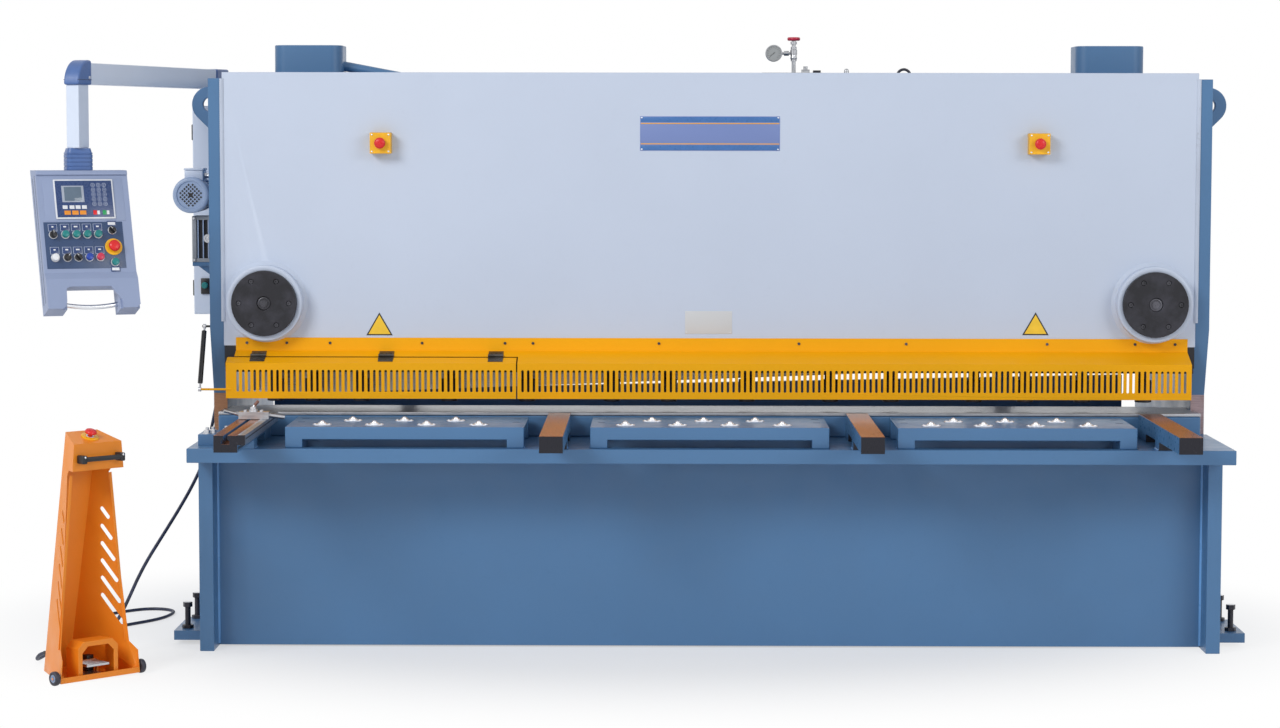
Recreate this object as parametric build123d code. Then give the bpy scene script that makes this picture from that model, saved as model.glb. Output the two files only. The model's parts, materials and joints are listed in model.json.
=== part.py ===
from build123d import *
import math
import os

# Hydraulic guillotine shear for sheet and plate: a welded frame of two thick side plates, a
# table, a raked upper blade on a ram driven by two cylinders, hold-downs, a slotted guard with
# a hinged section, a swivelling control pendant and a foot pedal stand.
# Millimetres, +Z up, +X to the operator's right; the operator stands on the -Y side.
# The origin is on the floor, in the middle of the eight levelling screws.

# Side frames
FRAME_GAP = 3500            # clear width between the side frames
FRAME_T = 50                # thickness of a side frame
FRAME_TOP = 2023
FRAME_FRONT = -600          # front edge of the upper half
BASE_FRONT = -902           # front edge of the lower half
THROAT_BACK = -520          # back of the throat that the table passes through
THROAT_TOP = 885
THROAT_LEAD_TOP = 1125      # where the sloping edge above the throat meets the front edge
FRAME_REAR = 760
UPPER_REAR = 560
REAR_STEP_LOW = 1000
REAR_STEP_HIGH = 1350
EAR_R = 66                  # lifting ear on the outer side of each frame
EAR_HOLE_R = 26
EAR_REACH = 36              # hole centre beyond the outer face
EAR_Z = 1932
EAR_Y = -300
EAR_T = 30
HALF_GAP = FRAME_GAP / 2
FRAME_OUT = HALF_GAP + FRAME_T

# Feet
LEVEL_X = FRAME_OUT + 74    # levelling screws from the middle
LEVEL_Y = (700, 480)
FOOT_REACH = 115            # foot plates beyond the outer face
FOOT_LOW = 16
FOOT_T = 34
FOOT_L = 310
SCREW_R = 10
SCREW_HEAD_R = 17
SCREW_HEAD_T = 18
SCREW_LOW = 10
SCREW_TOP = 145
NUT_R = 21
NUT_T = 12

# Table and bed
TABLE_TOP = 740
TABLE_T = 50
TABLE_FRONT = -1095
TABLE_OVER = 11             # table beyond the side frames
WINDOW_END = 34             # sheet pad beyond its hand window
WINDOW_FRONT = -1035
WINDOW_REAR = -700
BED_FRONT = -650
BED_OVER = 15               # bed beyond the frames' inner faces
BED_RISE = 75               # blue bed beam above the table
BED_STEEL_T = 13            # polished wearing plate
BED_WEB_T = 60
BED_WEB_LOW = 420
BASE_PLATE_Y = -788
BASE_PLATE_T = 25
BASE_PLATE_LOW = 5
TIE_H = 240
TIE_T = 110
TIE_LOW = 60
CHUTE_T = 6
CHUTE_TOP = 400
CHUTE_LOW = 210

# Blades, ram and hold-downs
CUT_Y = -380                # cutting line, rear face of the lower blade
KNIFE_GAP = 5
BLADE_T = 25
BLADE_H = 100
BLADE_END = 100             # blades' ends from the side frames
RAKE = 2.2                  # degrees
BLADE_RISE = 98             # middle of the upper edge above the bed
RAM_T = 60
RAM_TOP = 1600
RAM_LIP = 18                # blade below the ram plate
RIB_PLACES = (-0.77, -0.385, 0, 0.385, 0.77)     # shares of the ram's half length
RIB_END = 60
RIB_T = 30
RIB_D = 120
RIB_LOW = 1180
GUIDE_GAP = 5
GUIDE_W = 55
GUIDE_TOP = 1660
PLUNGER_R = 30
PLUNGER_ROD_R = 20
PLUNGER_LIFT = 30           # feet above the bed at rest
PLUNGER_FOOT_H = 80
PLUNGER_FIT = 0.4
PLUNGERS = (-0.8994, -0.8206, -0.7211, -0.5383, -0.3766, -0.2006, -0.0823, 0.0794, 0.252, 0.3783,
            0.5503, 0.656, 0.7743, 0.9011)            # shares of half the gap between the frames
PLUNGER_CAP = 30            # holder's metal over the plungers' bores
PLUNGER_IN = 70             # plungers' tops below the holder's top
HOLDER_LOW = 965
HOLDER_H = 190
HOLDER_T = 90

# Back gauge, carried by the ram
GAUGE_Y = 150
GAUGE_T = 30
GAUGE_H = 125
GAUGE_TOP = 870             # top edge in the middle
GAUGE_TILT = 1.2
GAUGE_LEFT = -(HALF_GAP - 83)
GAUGE_RIGHT = HALF_GAP - 147
RAIL_X = 0.657 * HALF_GAP
RAIL_W = 60
RAIL_H = 70
RAIL_Z = 1075
RAIL_END = 690
RUNNING_GAP = 0.3
CARRIAGE_L = 160
CARRIAGE_WALL = 12

# Front panel and its round guide housings
PANEL_T = 30
PANEL_LOW = 1062
PANEL_ABOVE = 22            # panel above the side frames
HOUSING_X = HALF_GAP - 155
HOUSING_Z = 1219
HOUSING_R = 136
HOUSING_D = 60
COVER_R = 117
COVER_D = 20
COVER_HUB_R = 25
COVER_SCREW_R = 9
COVER_SCREWS_PCD = 180
COVER_SCREWS = 6
END_BLOCK_W = 48            # dark blocks beside the guard's ends
END_BLOCK_END = 2
END_BLOCK_LOW = 985

# Guard
SHEET_T = 4
GUARD_TOP = 1092
GUARD_KNEE = 1045           # flange meets the sloping band
GUARD_NOSE = 1007           # sloping band meets the slotted band
GUARD_LOW = 880
GUARD_Y = -700
GUARD_LEFT = -(HALF_GAP - 44)
GUARD_RIGHT = HALF_GAP - 28
DOOR_LEFT = -(HALF_GAP - 20)
DOOR_SEAM = -0.392 * HALF_GAP
HINGE_Z = 1027
HINGE_END = (110, 80)       # outer hinges from the door's ends
HINGE_SHARE = 0.546         # middle hinge along the door
HINGE_L = 55
HINGE_R = 5
LEAF_L = 20
LEAF_T = 2
HINGE_FIT = 0.3
DOOR_GAP = 5
SEAM_GAP = 3                # between the door's upper edge and the fixed band
PIN_R = 2.5
SLOT_W = 9
SLOT_LOW = 904
SLOT_TOP = 983
SLOT_PITCH = 20.4
SLOT_FIRST = DOOR_LEFT + 38
BOSS_CLEAR = 6
GUARD_PAST = 50             # cuts reach this far past the guard

# Gas strut of the guard's hinged section
STRUT_X = -(FRAME_OUT + 24)
STRUT_TOP_Y = -570
STRUT_TOP_Z = 1130
STRUT_LOW_Y = -698
STRUT_LOW_Z = 912
STRUT_R = 9
STRUT_ROD_R = 3.5
STRUT_BORE_R = 6
STRUT_ROD_L = 120
STRUT_NECK = 26
STRUT_STUD_R = 4
STRUT_STUD_END = 8          # studs beyond the strut's middle
STRUT_EYE_R = 8
STRUT_EYE_HALF = 5
STRUT_EYE_FIT = 0.3
STRUT_SHOULDER = 6          # shanks start this far from the eyes' middles
STRUT_TUBE_FROM = 0.08      # share of the strut's length above the tube
STRUT_CAP = 10
PIN_IN = 20                 # the lower stud's root inside the door's end

# Sheet pads with ball transfer units
PAD_L = 0.4731 * HALF_GAP
PAD_FRONT = -1060
PAD_REAR = -680
PAD_H = 44
PAD_T = 6
PAD_LIFT = 29
PAD_FOOT_L = 60
PAD_FOOT_D = 50
PADS = (-0.6057 * HALF_GAP, -0.0017 * HALF_GAP, 0.6063 * HALF_GAP)
BALL_R = 10
BALL_CUP_R = 14
BALL_FLANGE_L = 66
BALL_FLANGE_W = 38
BALL_PITCH = 182
BALL_ROW_FRONT = -985
BALL_ROW_REAR = -835
BALL_SHIFT = 92             # rear row beside the front row
BALL_LEFT = 20              # both rows left of the pad's middle
BALL_FLANGE_T = 3
BALL_CUP_H = 6

# Front support arms
ARM_W = 80
ARM_H = 57
ARM_FRONT = -1500
ARM_TOP = 826
ARMS = (-0.3063 * HALF_GAP, 0.3034 * HALF_GAP, HALF_GAP - 167)
SQUARE_X = -(HALF_GAP - 134)
SQUARE_RAIL_W = 26
SQUARE_RAIL_H = 34
TSLOT_W = 14
TSLOT_D = 16
TSLOT_FOOT = 29             # depth of the slot's wider foot
BRACKET_L = 330
BRACKET_D = 132
SQUARE_RAIL_UP = 2          # rail above the arm
STOP_Y = -930
STOP_HALF = 20
STOP_H = 26
STOP_SIDE = 6
STOP_LEVER = (-45, -20, 30)  # the lever's end from the block's left end, line and lower face
STOP_LEVER_R = 6
STOP_FINGER_L = 60
STOP_FINGER_R = 7
STOP_FINGER_DROP = 8

# Emergency stops on the panel
ESTOP_X = 0.6726 * HALF_GAP
ESTOP_Z = 1792
ESTOP_BOX = 75
ESTOP_BOX_D = 55
ESTOP_R = 20
ESTOP_STEM_R = 8
ESTOP_RISE = 14             # travel space and collar under the mushroom
ESTOP_CAP_H = 14
ESTOP_DEEP = 20             # depth of the bore for the stem
ESTOP_RING_R = 30
ESTOP_RING_T = 5

# Cylinders, tank and fittings on top
CYL_X = HALF_GAP - 280
CYL_Y = -250
CYL_R = 75
CYL_LOW = 1640
CYL_ROD_IN = 230            # rod inside the barrel at rest
CYL_ROD_R = 40
COVER_BOX_L = 250
COVER_BOX_W = 200
COVER_BOX_TOP = 2149
COVER_BOX_FILLET = 45
TANK_HALF = 0.657 * HALF_GAP
TANK_FRONT = -60
DECK_T = 25
DECK_DROP = 40              # deck's top below the side frames
TANK_LOW = 1420
TANK_TOP = 2030
FITTING_Y = -200
GAUGE_DIAL_X = 243
GAUGE_DIAL_Z = 2125
GAUGE_DIAL_R = 31
GAUGE_DIAL_D = 26
VALVE_X = 317
VALVE_WHEEL_Z = 2172
VALVE_WHEEL_R = 24
VALVE_WHEEL_T = 12
VALVE_STEM_R = 7.5
VALVE_BODY = (11, 2096, 2149)      # radius, low, top
VALVE_NUT = (12, 2158, 2168)
VALVE_BLOCK = (-117, 103)          # manifold from the valve
VALVE_BLOCK_W = 80
VALVE_BLOCK_H = 70
DIAL_PIPE_R = 5
DIAL_NUT = (9, -36, -18)           # radius, left and right end from the valve
SOLENOIDS = ((44, 30, 12), (86, 28, 9))      # place from the valve, width, height over the manifold
SOLENOID_CAP = (8, 12)             # radius, height
EYE_BOLT_X = 726
EYE_BOLT_R = 24
EYE_BOLT_WIRE = 5
EYE_BOLT_Z = 2042
NIPPLE_X = 513
NIPPLE_R = 9
NIPPLE_TOP = 2060
PIPE_R = 18                 # sloping pipe from the left cylinder's cover down to the deck
PIPE_TOP_Z = 2074
PIPE_SLOPE = 0.19
PIPE_L = 520

# Equipment on the left side
CABINET_D = 150
CABINET_L = 600
CABINET_FRONT = 0
CABINET_LOW = 1140
CABINET_TOP = 1930
MOTOR_X = -(FRAME_OUT + 97)
MOTOR_Z = 1600
MOTOR_R = 66
MOTOR_L = 250
MOTOR_FRONT = -400
MOTOR_SADDLE = (60, 210, 30)        # from, to, half height
TERMINAL = (-30, 38, 50, 140, 98)   # left, right, front, rear and top from the motor
TERMINAL_LOW = 50
REDUCER_W = 100
REDUCER_D = 120
REDUCER_LOW = 1353
REDUCER_TOP = 1522
REDUCER_Y = -350
SHELF_T = 15
FIN_T = 5
FINS = 6
FIN_DEEP = 12
GUSSET_IN = 10
GUSSET_REACH = 0.8
GUSSET_DROP = 0.6

# Pendant
PIVOT_X = -(FRAME_OUT + 85)
PIVOT_Y = 180
PIVOT_R = 30
ELBOW_X = -(FRAME_OUT + 400)
ELBOW_Y = -950
ARM_Z = 2032                # middle of the swinging arm
ARM_TUBE_W = 50
ARM_TUBE_H = 75
ELBOW_BACK = 55
ELBOW_REACH = 48
ELBOW_WALL = 2
ELBOW_BULGE = (0.5, 0.72)   # middle of the corner piece's arc, as shares of its reach and height
DROP_LOW = 1774
DROP_W = 48
DROP_L = 78
COUPLING_LOW = 1697
COUPLING_W = 92
COUPLING_L = 70
COUPLING_FILLET = 18
PANEL_YAW = 24              # degrees towards the machine's middle
PANEL_LEAN = 20
PANEL_W = 320
PANEL_S = 530
PANEL_D = 76
PANEL_LEG_S = 90
PANEL_LEG_W = 68
BAR_R = 9
BAR_UP = 22                 # bar from the legs' ends
STOP_S = 308                # the panel's emergency stop, down the face
STOP_SHIFT = 88
CONTROL_H = 12
CONTROLS = (                # down the face, across it from its middle, radius
    (262, (-118, -76, -38, 0, 38), 11),
    (345, (-118, -76, -38, 2, 40), 11),
    (248, (STOP_SHIFT,), 13),
    (364, (STOP_SHIFT,), 11),
)

# Foot pedal stand
STAND_X = -(FRAME_OUT + 246)
STAND_Y = -1465
STAND_TURN = 45.9
STAND_BASE_FRONT = 160      # half widths
STAND_BASE_REAR = 52
STAND_BASE_D = 255
STAND_TOP_FRONT = 95
STAND_TOP_REAR = 63
STAND_TOP_D = 100
STAND_FRONT_H = 798
STAND_REAR_H = 834
STAND_T = 3
STAND_LOW = 5
FASCIA_H = 90
STAND_LIP = 16              # front lip above the floor plate
CHEEK_TOP = ((44, 0), (58, 18))     # cheeks' upper edge: in from the front, down from the fascia
CHEEK_STEP = ((30, 112), (2, 85))   # foot of the cheeks: in from the front, height
STAND_OVER = 60             # the column is drawn this much too high, then cut along its top
STAND_FOOT = ((0.5, 0.8), (0.8, 0.9))      # rear feet, as shares of the base's rear half and depth
STAND_SLOTS = 6
STAND_SLOT_W = 16
STAND_SLOT_REAR = ((91, 562), (112, 264))
STAND_SLOT_FRONT = ((72, 536), (49, 176))
STAND_STOP_SHARE = 0.45     # emergency stop from the top's front edge
WHEEL_R = 24
WHEEL_T = 20
WHEEL_Y = 14
WHEEL_CLEAR = 3
AXLE_R = 4
HOOD_HALF = 80
HOOD_H = 133
HOOD_D = 70
HOOD_Y = 12
HOOD_CHAMFER = 22
HOOD_RIM = 17
HANDLE_HALF = 76
HANDLE_Z = 748
HANDLE_R = 8
HANDLE_REACH = 28
PEDAL_HALF = 45
PEDAL_FRONT = 14
PEDAL_T = 8
PEDAL_PIN_Y = 96
PEDAL_PIN_Z = 49
PEDAL_PIN_R = 3
PEDAL_HUB_R = 7

# Control cable of the pedal stand
CABLE_R = 6
GLAND_R = 11
# X counts from the left side frame's outer face
CABLE_FROM_FRAME = [
    (-50, 60, 1118), (-50, 60, 1078), (-49, 48, 1026), (-47, 21, 974), (-44, -20, 926),
    (-41, -68, 890), (-38, -124, 862), (-35, -186, 840), (-32, -250, 818), (-30, -310, 791),
    (-30, -366, 756), (-33, -414, 712), (-39, -458, 660), (-53, -508, 606), (-75, -568, 548),
    (-103, -630, 489), (-134, -690, 430), (-166, -748, 372), (-198, -804, 314), (-225, -858, 254),
    (-247, -904, 194), (-268, -944, 142), (-294, -977, 96), (-324, -1000, 56), (-358.9, -1007.7, 27.9),
    (-394.2, -995.2, 9.5), (-425, -968.9, 6.5), (-440, -924, 6.5), (-448, -870, 6.5), (-450, -804, 6.5),
    (-447, -732, 6.5), (-442, -660, 6.5), (-433, -590, 6.5), (-420, -525, 6.5), (-401, -462, 6.5),
    (-374, -406, 6.5), (-340, -356, 6.5), (-304, -308, 6.5), (-272, -260, 6.5), (-247, -208, 6.5),
    (-233, -152, 6.5), (-227, -96, 6.5), (-232, -48, 6.5), (-261, -10, 6.5), (-305, 8, 6.5),
    (-352, 0, 6.5), (-390, -31, 6.5), (-426, -70, 6.5), (-457, -116, 6.5), (-483, -170, 6.5),
    (-502, -236, 6.5), (-514, -308, 6.5), (-521, -382, 6.5), (-525, -460, 6.5), (-525, -540, 6.5),
    (-521, -622, 6.5), (-515, -706, 6.5), (-511, -790, 6.5), (-511, -872, 6.5), (-515, -952, 6.5),
    (-522, -1022, 6.5), (-527, -1082, 6.5), (-528, -1130, 10), (-522, -1168, 20), (-510, -1199, 34),
    (-494, -1224, 46), (-475.844, -1242.823, 51), (-454.3, -1263.7, 51),
]
CABLE_ROUTE = [(x - FRAME_OUT, y, z) for x, y, z in CABLE_FROM_FRAME]
CABLE_SHARE = 0.45          # of the shorter run on each side taken by a bend

PANEL_TOP = FRAME_TOP + PANEL_ABOVE
BED_TOP = TABLE_TOP + BED_RISE + BED_STEEL_T
TABLE_HALF = FRAME_OUT + TABLE_OVER
BED_HALF = HALF_GAP + BED_OVER
BLADE_L = FRAME_GAP - 2 * BLADE_END
RAM_HALF = HALF_GAP - GUIDE_W - GUIDE_GAP
WINDOW_L = PAD_L - 2 * WINDOW_END
SLOTS = int((GUARD_RIGHT - SLOT_FIRST) / SLOT_PITCH)
HINGES = (DOOR_LEFT + HINGE_END[0], DOOR_LEFT + HINGE_SHARE * (DOOR_SEAM - DOOR_LEFT),
          DOOR_SEAM - HINGE_END[1])
BED_REAR = CUT_Y - BLADE_T
RAKE_SLOPE = math.tan(math.radians(RAKE))
RAM_FRONT = CUT_Y + KNIFE_GAP + BLADE_T
RAM_REAR = RAM_FRONT + RAM_T
PANEL_BACK = FRAME_FRONT + PANEL_T

os.makedirs("parts", exist_ok=True)
nodes = {}


def node(name, *solids):
    """Keeps a named piece, as one solid or as several that don't touch."""
    nodes[name] = solids[0] if len(solids) == 1 else Compound(children=list(solids))


def block(x, y, z):
    """A box between two corners, given as (low, high) on each axis."""
    size = [abs(b - a) for a, b in (x, y, z)]
    middle = [(a + b) / 2 for a, b in (x, y, z)]
    return Pos(*middle) * Box(*size)


def plate_x(points, x0, x1):
    """A plate with its outline in Y and Z, between two X values."""
    face = make_face(Polyline(*points, close=True))
    return Plane(origin=(x0, 0, 0), x_dir=(0, 1, 0), z_dir=(1, 0, 0)) * extrude(face, x1 - x0)


def plate_y(points, y0, y1):
    """A plate with its outline in X and Z, between two Y values."""
    face = make_face(Polyline(*points, close=True))
    return Plane(origin=(0, y1, 0), x_dir=(1, 0, 0), z_dir=(0, -1, 0)) * extrude(face, y1 - y0)


def plate_z(points, z0, z1):
    """A plate with its outline in X and Y, between two heights."""
    return Pos(0, 0, z0) * extrude(make_face(Polyline(*points, close=True)), z1 - z0)


def rod(start, end, radius):
    """A round bar from one point to another."""
    way = Vector(*end) - Vector(*start)
    return Plane(origin=start, z_dir=way) * extrude(Circle(radius), way.length)


def mirror_x(solid):
    return mirror(solid, about=Plane.YZ)


def side_frame(side):
    """One side plate with its throat and its lifting ear; side is -1 for the left."""
    outline = [
        (BASE_FRONT, 0), (BASE_FRONT, TABLE_TOP - TABLE_T), (THROAT_BACK, TABLE_TOP - TABLE_T),
        (THROAT_BACK, THROAT_TOP), (FRAME_FRONT, THROAT_LEAD_TOP), (FRAME_FRONT, FRAME_TOP),
        (UPPER_REAR, FRAME_TOP), (UPPER_REAR, REAR_STEP_HIGH), (FRAME_REAR, REAR_STEP_LOW),
        (FRAME_REAR, 0),
    ]
    plate = plate_x(outline, HALF_GAP, FRAME_OUT)
    hole = FRAME_OUT + EAR_REACH
    drop = math.sqrt(2) * EAR_R
    ear = plate_y([(FRAME_OUT - 1, EAR_Z + EAR_R), (hole, EAR_Z + EAR_R),
                   (hole + EAR_R / math.sqrt(2), EAR_Z - EAR_R / math.sqrt(2)),
                   (FRAME_OUT - 1, EAR_Z - drop - EAR_REACH)], EAR_Y - EAR_T / 2, EAR_Y + EAR_T / 2)
    disc = rod((hole, EAR_Y - EAR_T / 2, EAR_Z), (hole, EAR_Y + EAR_T / 2, EAR_Z), EAR_R)
    bore = rod((hole, EAR_Y - EAR_T, EAR_Z), (hole, EAR_Y + EAR_T, EAR_Z), EAR_HOLE_R)
    flank = block((0, FRAME_OUT), (EAR_Y - EAR_T, EAR_Y + EAR_T), (0, FRAME_TOP))
    solid = plate + ((ear + disc) - bore - flank)
    return solid if side > 0 else mirror_x(solid)


def motor_shelf():
    """The bracket under the reducer, with its gusset, welded to the left frame."""
    front = REDUCER_Y
    rear = REDUCER_Y + REDUCER_D
    shelf = block((-FRAME_OUT - REDUCER_W, -FRAME_OUT), (front, rear),
                  (REDUCER_LOW - SHELF_T, REDUCER_LOW))
    low = REDUCER_LOW - SHELF_T
    gusset = plate_y([(-FRAME_OUT, low), (-FRAME_OUT - REDUCER_W * GUSSET_REACH, low),
                      (-FRAME_OUT, low - REDUCER_W * GUSSET_DROP)], front + GUSSET_IN,
                     front + GUSSET_IN + SHELF_T)
    return shelf + gusset


def frame_nodes():
    node("left_side_frame", side_frame(-1) + motor_shelf())
    node("right_side_frame", side_frame(1))
    front = block((-HALF_GAP, HALF_GAP), (BASE_PLATE_Y, BASE_PLATE_Y + BASE_PLATE_T),
                  (BASE_PLATE_LOW, TABLE_TOP - TABLE_T))
    tie = block((-HALF_GAP, HALF_GAP), (FRAME_REAR - TIE_T, FRAME_REAR), (TIE_LOW, TIE_LOW + TIE_H))
    upper = block((-HALF_GAP, HALF_GAP), (UPPER_REAR - SHELF_T, UPPER_REAR),
                  (TANK_LOW - TIE_H / 2, FRAME_TOP - PANEL_T))
    deck_top = FRAME_TOP - DECK_DROP
    deck = block((-HALF_GAP, HALF_GAP), (PANEL_BACK, TANK_FRONT), (deck_top - DECK_T, deck_top))
    node("base_front_plate", front)
    node("cross_members", tie, upper, deck)
    chute_front = BED_REAR
    chute_rear = FRAME_REAR - TIE_T
    chute = plate_x([(chute_front, CHUTE_TOP), (chute_rear, CHUTE_LOW),
                     (chute_rear, CHUTE_LOW + CHUTE_T), (chute_front, CHUTE_TOP + CHUTE_T)],
                    -HALF_GAP, HALF_GAP)
    node("chute", chute)


def feet_nodes():
    plates = []
    screws = []
    top = FOOT_LOW + FOOT_T
    for sx in (-1, 1):
        for sy in (-1, 1):
            mid = sy * (FRAME_REAR - FOOT_L / 2)
            plate = block((sx * FRAME_OUT, sx * (FRAME_OUT + FOOT_REACH)),
                          (mid - FOOT_L / 2, mid + FOOT_L / 2), (FOOT_LOW, top))
            for out in LEVEL_Y:
                x, y = sx * LEVEL_X, sy * out
                plate -= rod((x, y, 0), (x, y, SCREW_TOP), SCREW_R)
                screw = rod((x, y, SCREW_LOW), (x, y, SCREW_TOP), SCREW_R)
                nut = Pos(x, y, top) * extrude(RegularPolygon(NUT_R, 6), NUT_T)
                head = Pos(x, y, SCREW_TOP - SCREW_HEAD_T) * extrude(RegularPolygon(SCREW_HEAD_R, 6),
                                                                     SCREW_HEAD_T)
                screws.append(screw + nut + head)
            plates.append(plate)
    node("foot_plates", *plates)
    node("levelling_screws", *screws)


def stepped(y_step, y_rear, z0, z1):
    """A slab that is wide in front of the frames' throat and fits between them behind it."""
    return plate_z([(-BED_HALF, BED_FRONT), (BED_HALF, BED_FRONT), (BED_HALF, y_step),
                    (HALF_GAP, y_step), (HALF_GAP, y_rear), (-HALF_GAP, y_rear),
                    (-HALF_GAP, y_step), (-BED_HALF, y_step)], z0, z1)


def bed_nodes():
    table = block((-TABLE_HALF, TABLE_HALF), (TABLE_FRONT, THROAT_BACK),
                  (TABLE_TOP - TABLE_T, TABLE_TOP))
    for x in PADS:
        table -= block((x - WINDOW_L / 2, x + WINDOW_L / 2), (WINDOW_FRONT, WINDOW_REAR),
                       (TABLE_TOP - 2 * TABLE_T, TABLE_TOP + TABLE_T))
    node("table_plate", table)
    beam_top = TABLE_TOP + BED_RISE
    beam = stepped(THROAT_BACK, BED_REAR, TABLE_TOP, beam_top)
    beam += block((-HALF_GAP, HALF_GAP), (BED_REAR - BED_WEB_T, BED_REAR), (BED_WEB_LOW, TABLE_TOP))
    node("bed_beam", beam)
    steel = stepped(THROAT_BACK, BED_REAR, beam_top, BED_TOP)
    node("bed_plate", steel)
    half = BLADE_L / 2
    node("lower_blade", block((-half, half), (BED_REAR, CUT_Y), (BED_TOP - BLADE_H, BED_TOP)))


def ball_unit(x, y, z):
    """A flanged ball transfer unit: flange, cup and ball as one solid of revolution and plate."""
    flange = Pos(x, y, z) * extrude(SlotOverall(BALL_FLANGE_L, BALL_FLANGE_W), BALL_FLANGE_T)
    cup = Pos(x, y, z) * extrude(Circle(BALL_CUP_R), BALL_CUP_H)
    return flange + cup + Pos(x, y, z + BALL_CUP_H) * Sphere(BALL_R, arc_size1=0)


def pad_nodes():
    pads = []
    balls = []
    low = TABLE_TOP + PAD_LIFT
    top = low + PAD_H
    for x in PADS:
        left, right = x - PAD_L / 2, x + PAD_L / 2
        pad = block((left, right), (PAD_FRONT, PAD_REAR), (low, top))
        pad -= block((left - 1, right + 1), (PAD_FRONT + PAD_T, PAD_REAR - PAD_T), (low - 1, top - PAD_T))
        for inner in (left, right - PAD_FOOT_L):
            for y in (PAD_FRONT, PAD_REAR - PAD_FOOT_D):
                pad += block((inner, inner + PAD_FOOT_L), (y, y + PAD_FOOT_D), (TABLE_TOP, top - PAD_T))
        pads.append(pad)
        for n in range(4):
            balls.append(ball_unit(x + (n - 1.5) * BALL_PITCH - BALL_LEFT, BALL_ROW_FRONT, top))
        for n in range(3):
            balls.append(ball_unit(x + (n - 1.5) * BALL_PITCH - BALL_LEFT + BALL_SHIFT, BALL_ROW_REAR, top))
    node("sheet_pads", *pads)
    node("ball_units", *balls)


def arm(x):
    """A support arm with its two feet on the table."""
    low = ARM_TOP - ARM_H
    half = ARM_W / 2
    bar = block((x - half, x + half), (ARM_FRONT, BED_FRONT), (low, ARM_TOP))
    rear = block((x - half, x + half), (BED_FRONT - 2 * ARM_W, BED_FRONT), (TABLE_TOP, low))
    front = block((x - half, x + half), (TABLE_FRONT, TABLE_FRONT + ARM_W), (TABLE_TOP, low))
    return bar + rear + front


def arm_nodes():
    node("support_arms", *[arm(x) for x in ARMS])
    body = arm(SQUARE_X)
    body -= block((SQUARE_X - TSLOT_W / 2, SQUARE_X + TSLOT_W / 2), (ARM_FRONT - 1, BED_FRONT + 1),
                  (ARM_TOP - TSLOT_D, ARM_TOP + 1))
    body -= block((SQUARE_X - TSLOT_W, SQUARE_X + TSLOT_W), (ARM_FRONT - 1, BED_FRONT + 1),
                  (ARM_TOP - TSLOT_FOOT, ARM_TOP - TSLOT_D))
    left = SQUARE_X - ARM_W / 2
    bracket = block((left - BRACKET_D, left), (BED_FRONT - BRACKET_L, BED_FRONT - BRACKET_L / 2),
                    (TABLE_TOP, TABLE_TOP + BED_RISE / 2))
    right = SQUARE_X + ARM_W / 2
    rail_top = ARM_TOP + SQUARE_RAIL_UP
    rail = block((right, right + SQUARE_RAIL_W), (ARM_FRONT, BED_FRONT),
                 (rail_top - SQUARE_RAIL_H, rail_top))
    node("squaring_arm", body + bracket + rail)
    low = rail_top + RUNNING_GAP
    middle = low + STOP_H / 2
    end = right + SQUARE_RAIL_W
    stop = block((left + STOP_SIDE, end + STOP_SIDE), (STOP_Y - STOP_HALF, STOP_Y + STOP_HALF),
                 (low, low + STOP_H))
    lever = rod((left + STOP_HALF / 2, STOP_Y, middle),
                (left + STOP_LEVER[0], STOP_Y + STOP_LEVER[1], low + STOP_LEVER[2]), STOP_LEVER_R)
    finger = rod((end, STOP_Y, middle), (end + STOP_FINGER_L, STOP_Y, middle - STOP_FINGER_DROP),
                 STOP_FINGER_R)
    node("flip_stop", stop + lever + finger)


def blade_edge(x):
    """Height of the upper blade's edge at rest."""
    return BED_TOP + BLADE_RISE + x * RAKE_SLOPE


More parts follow.
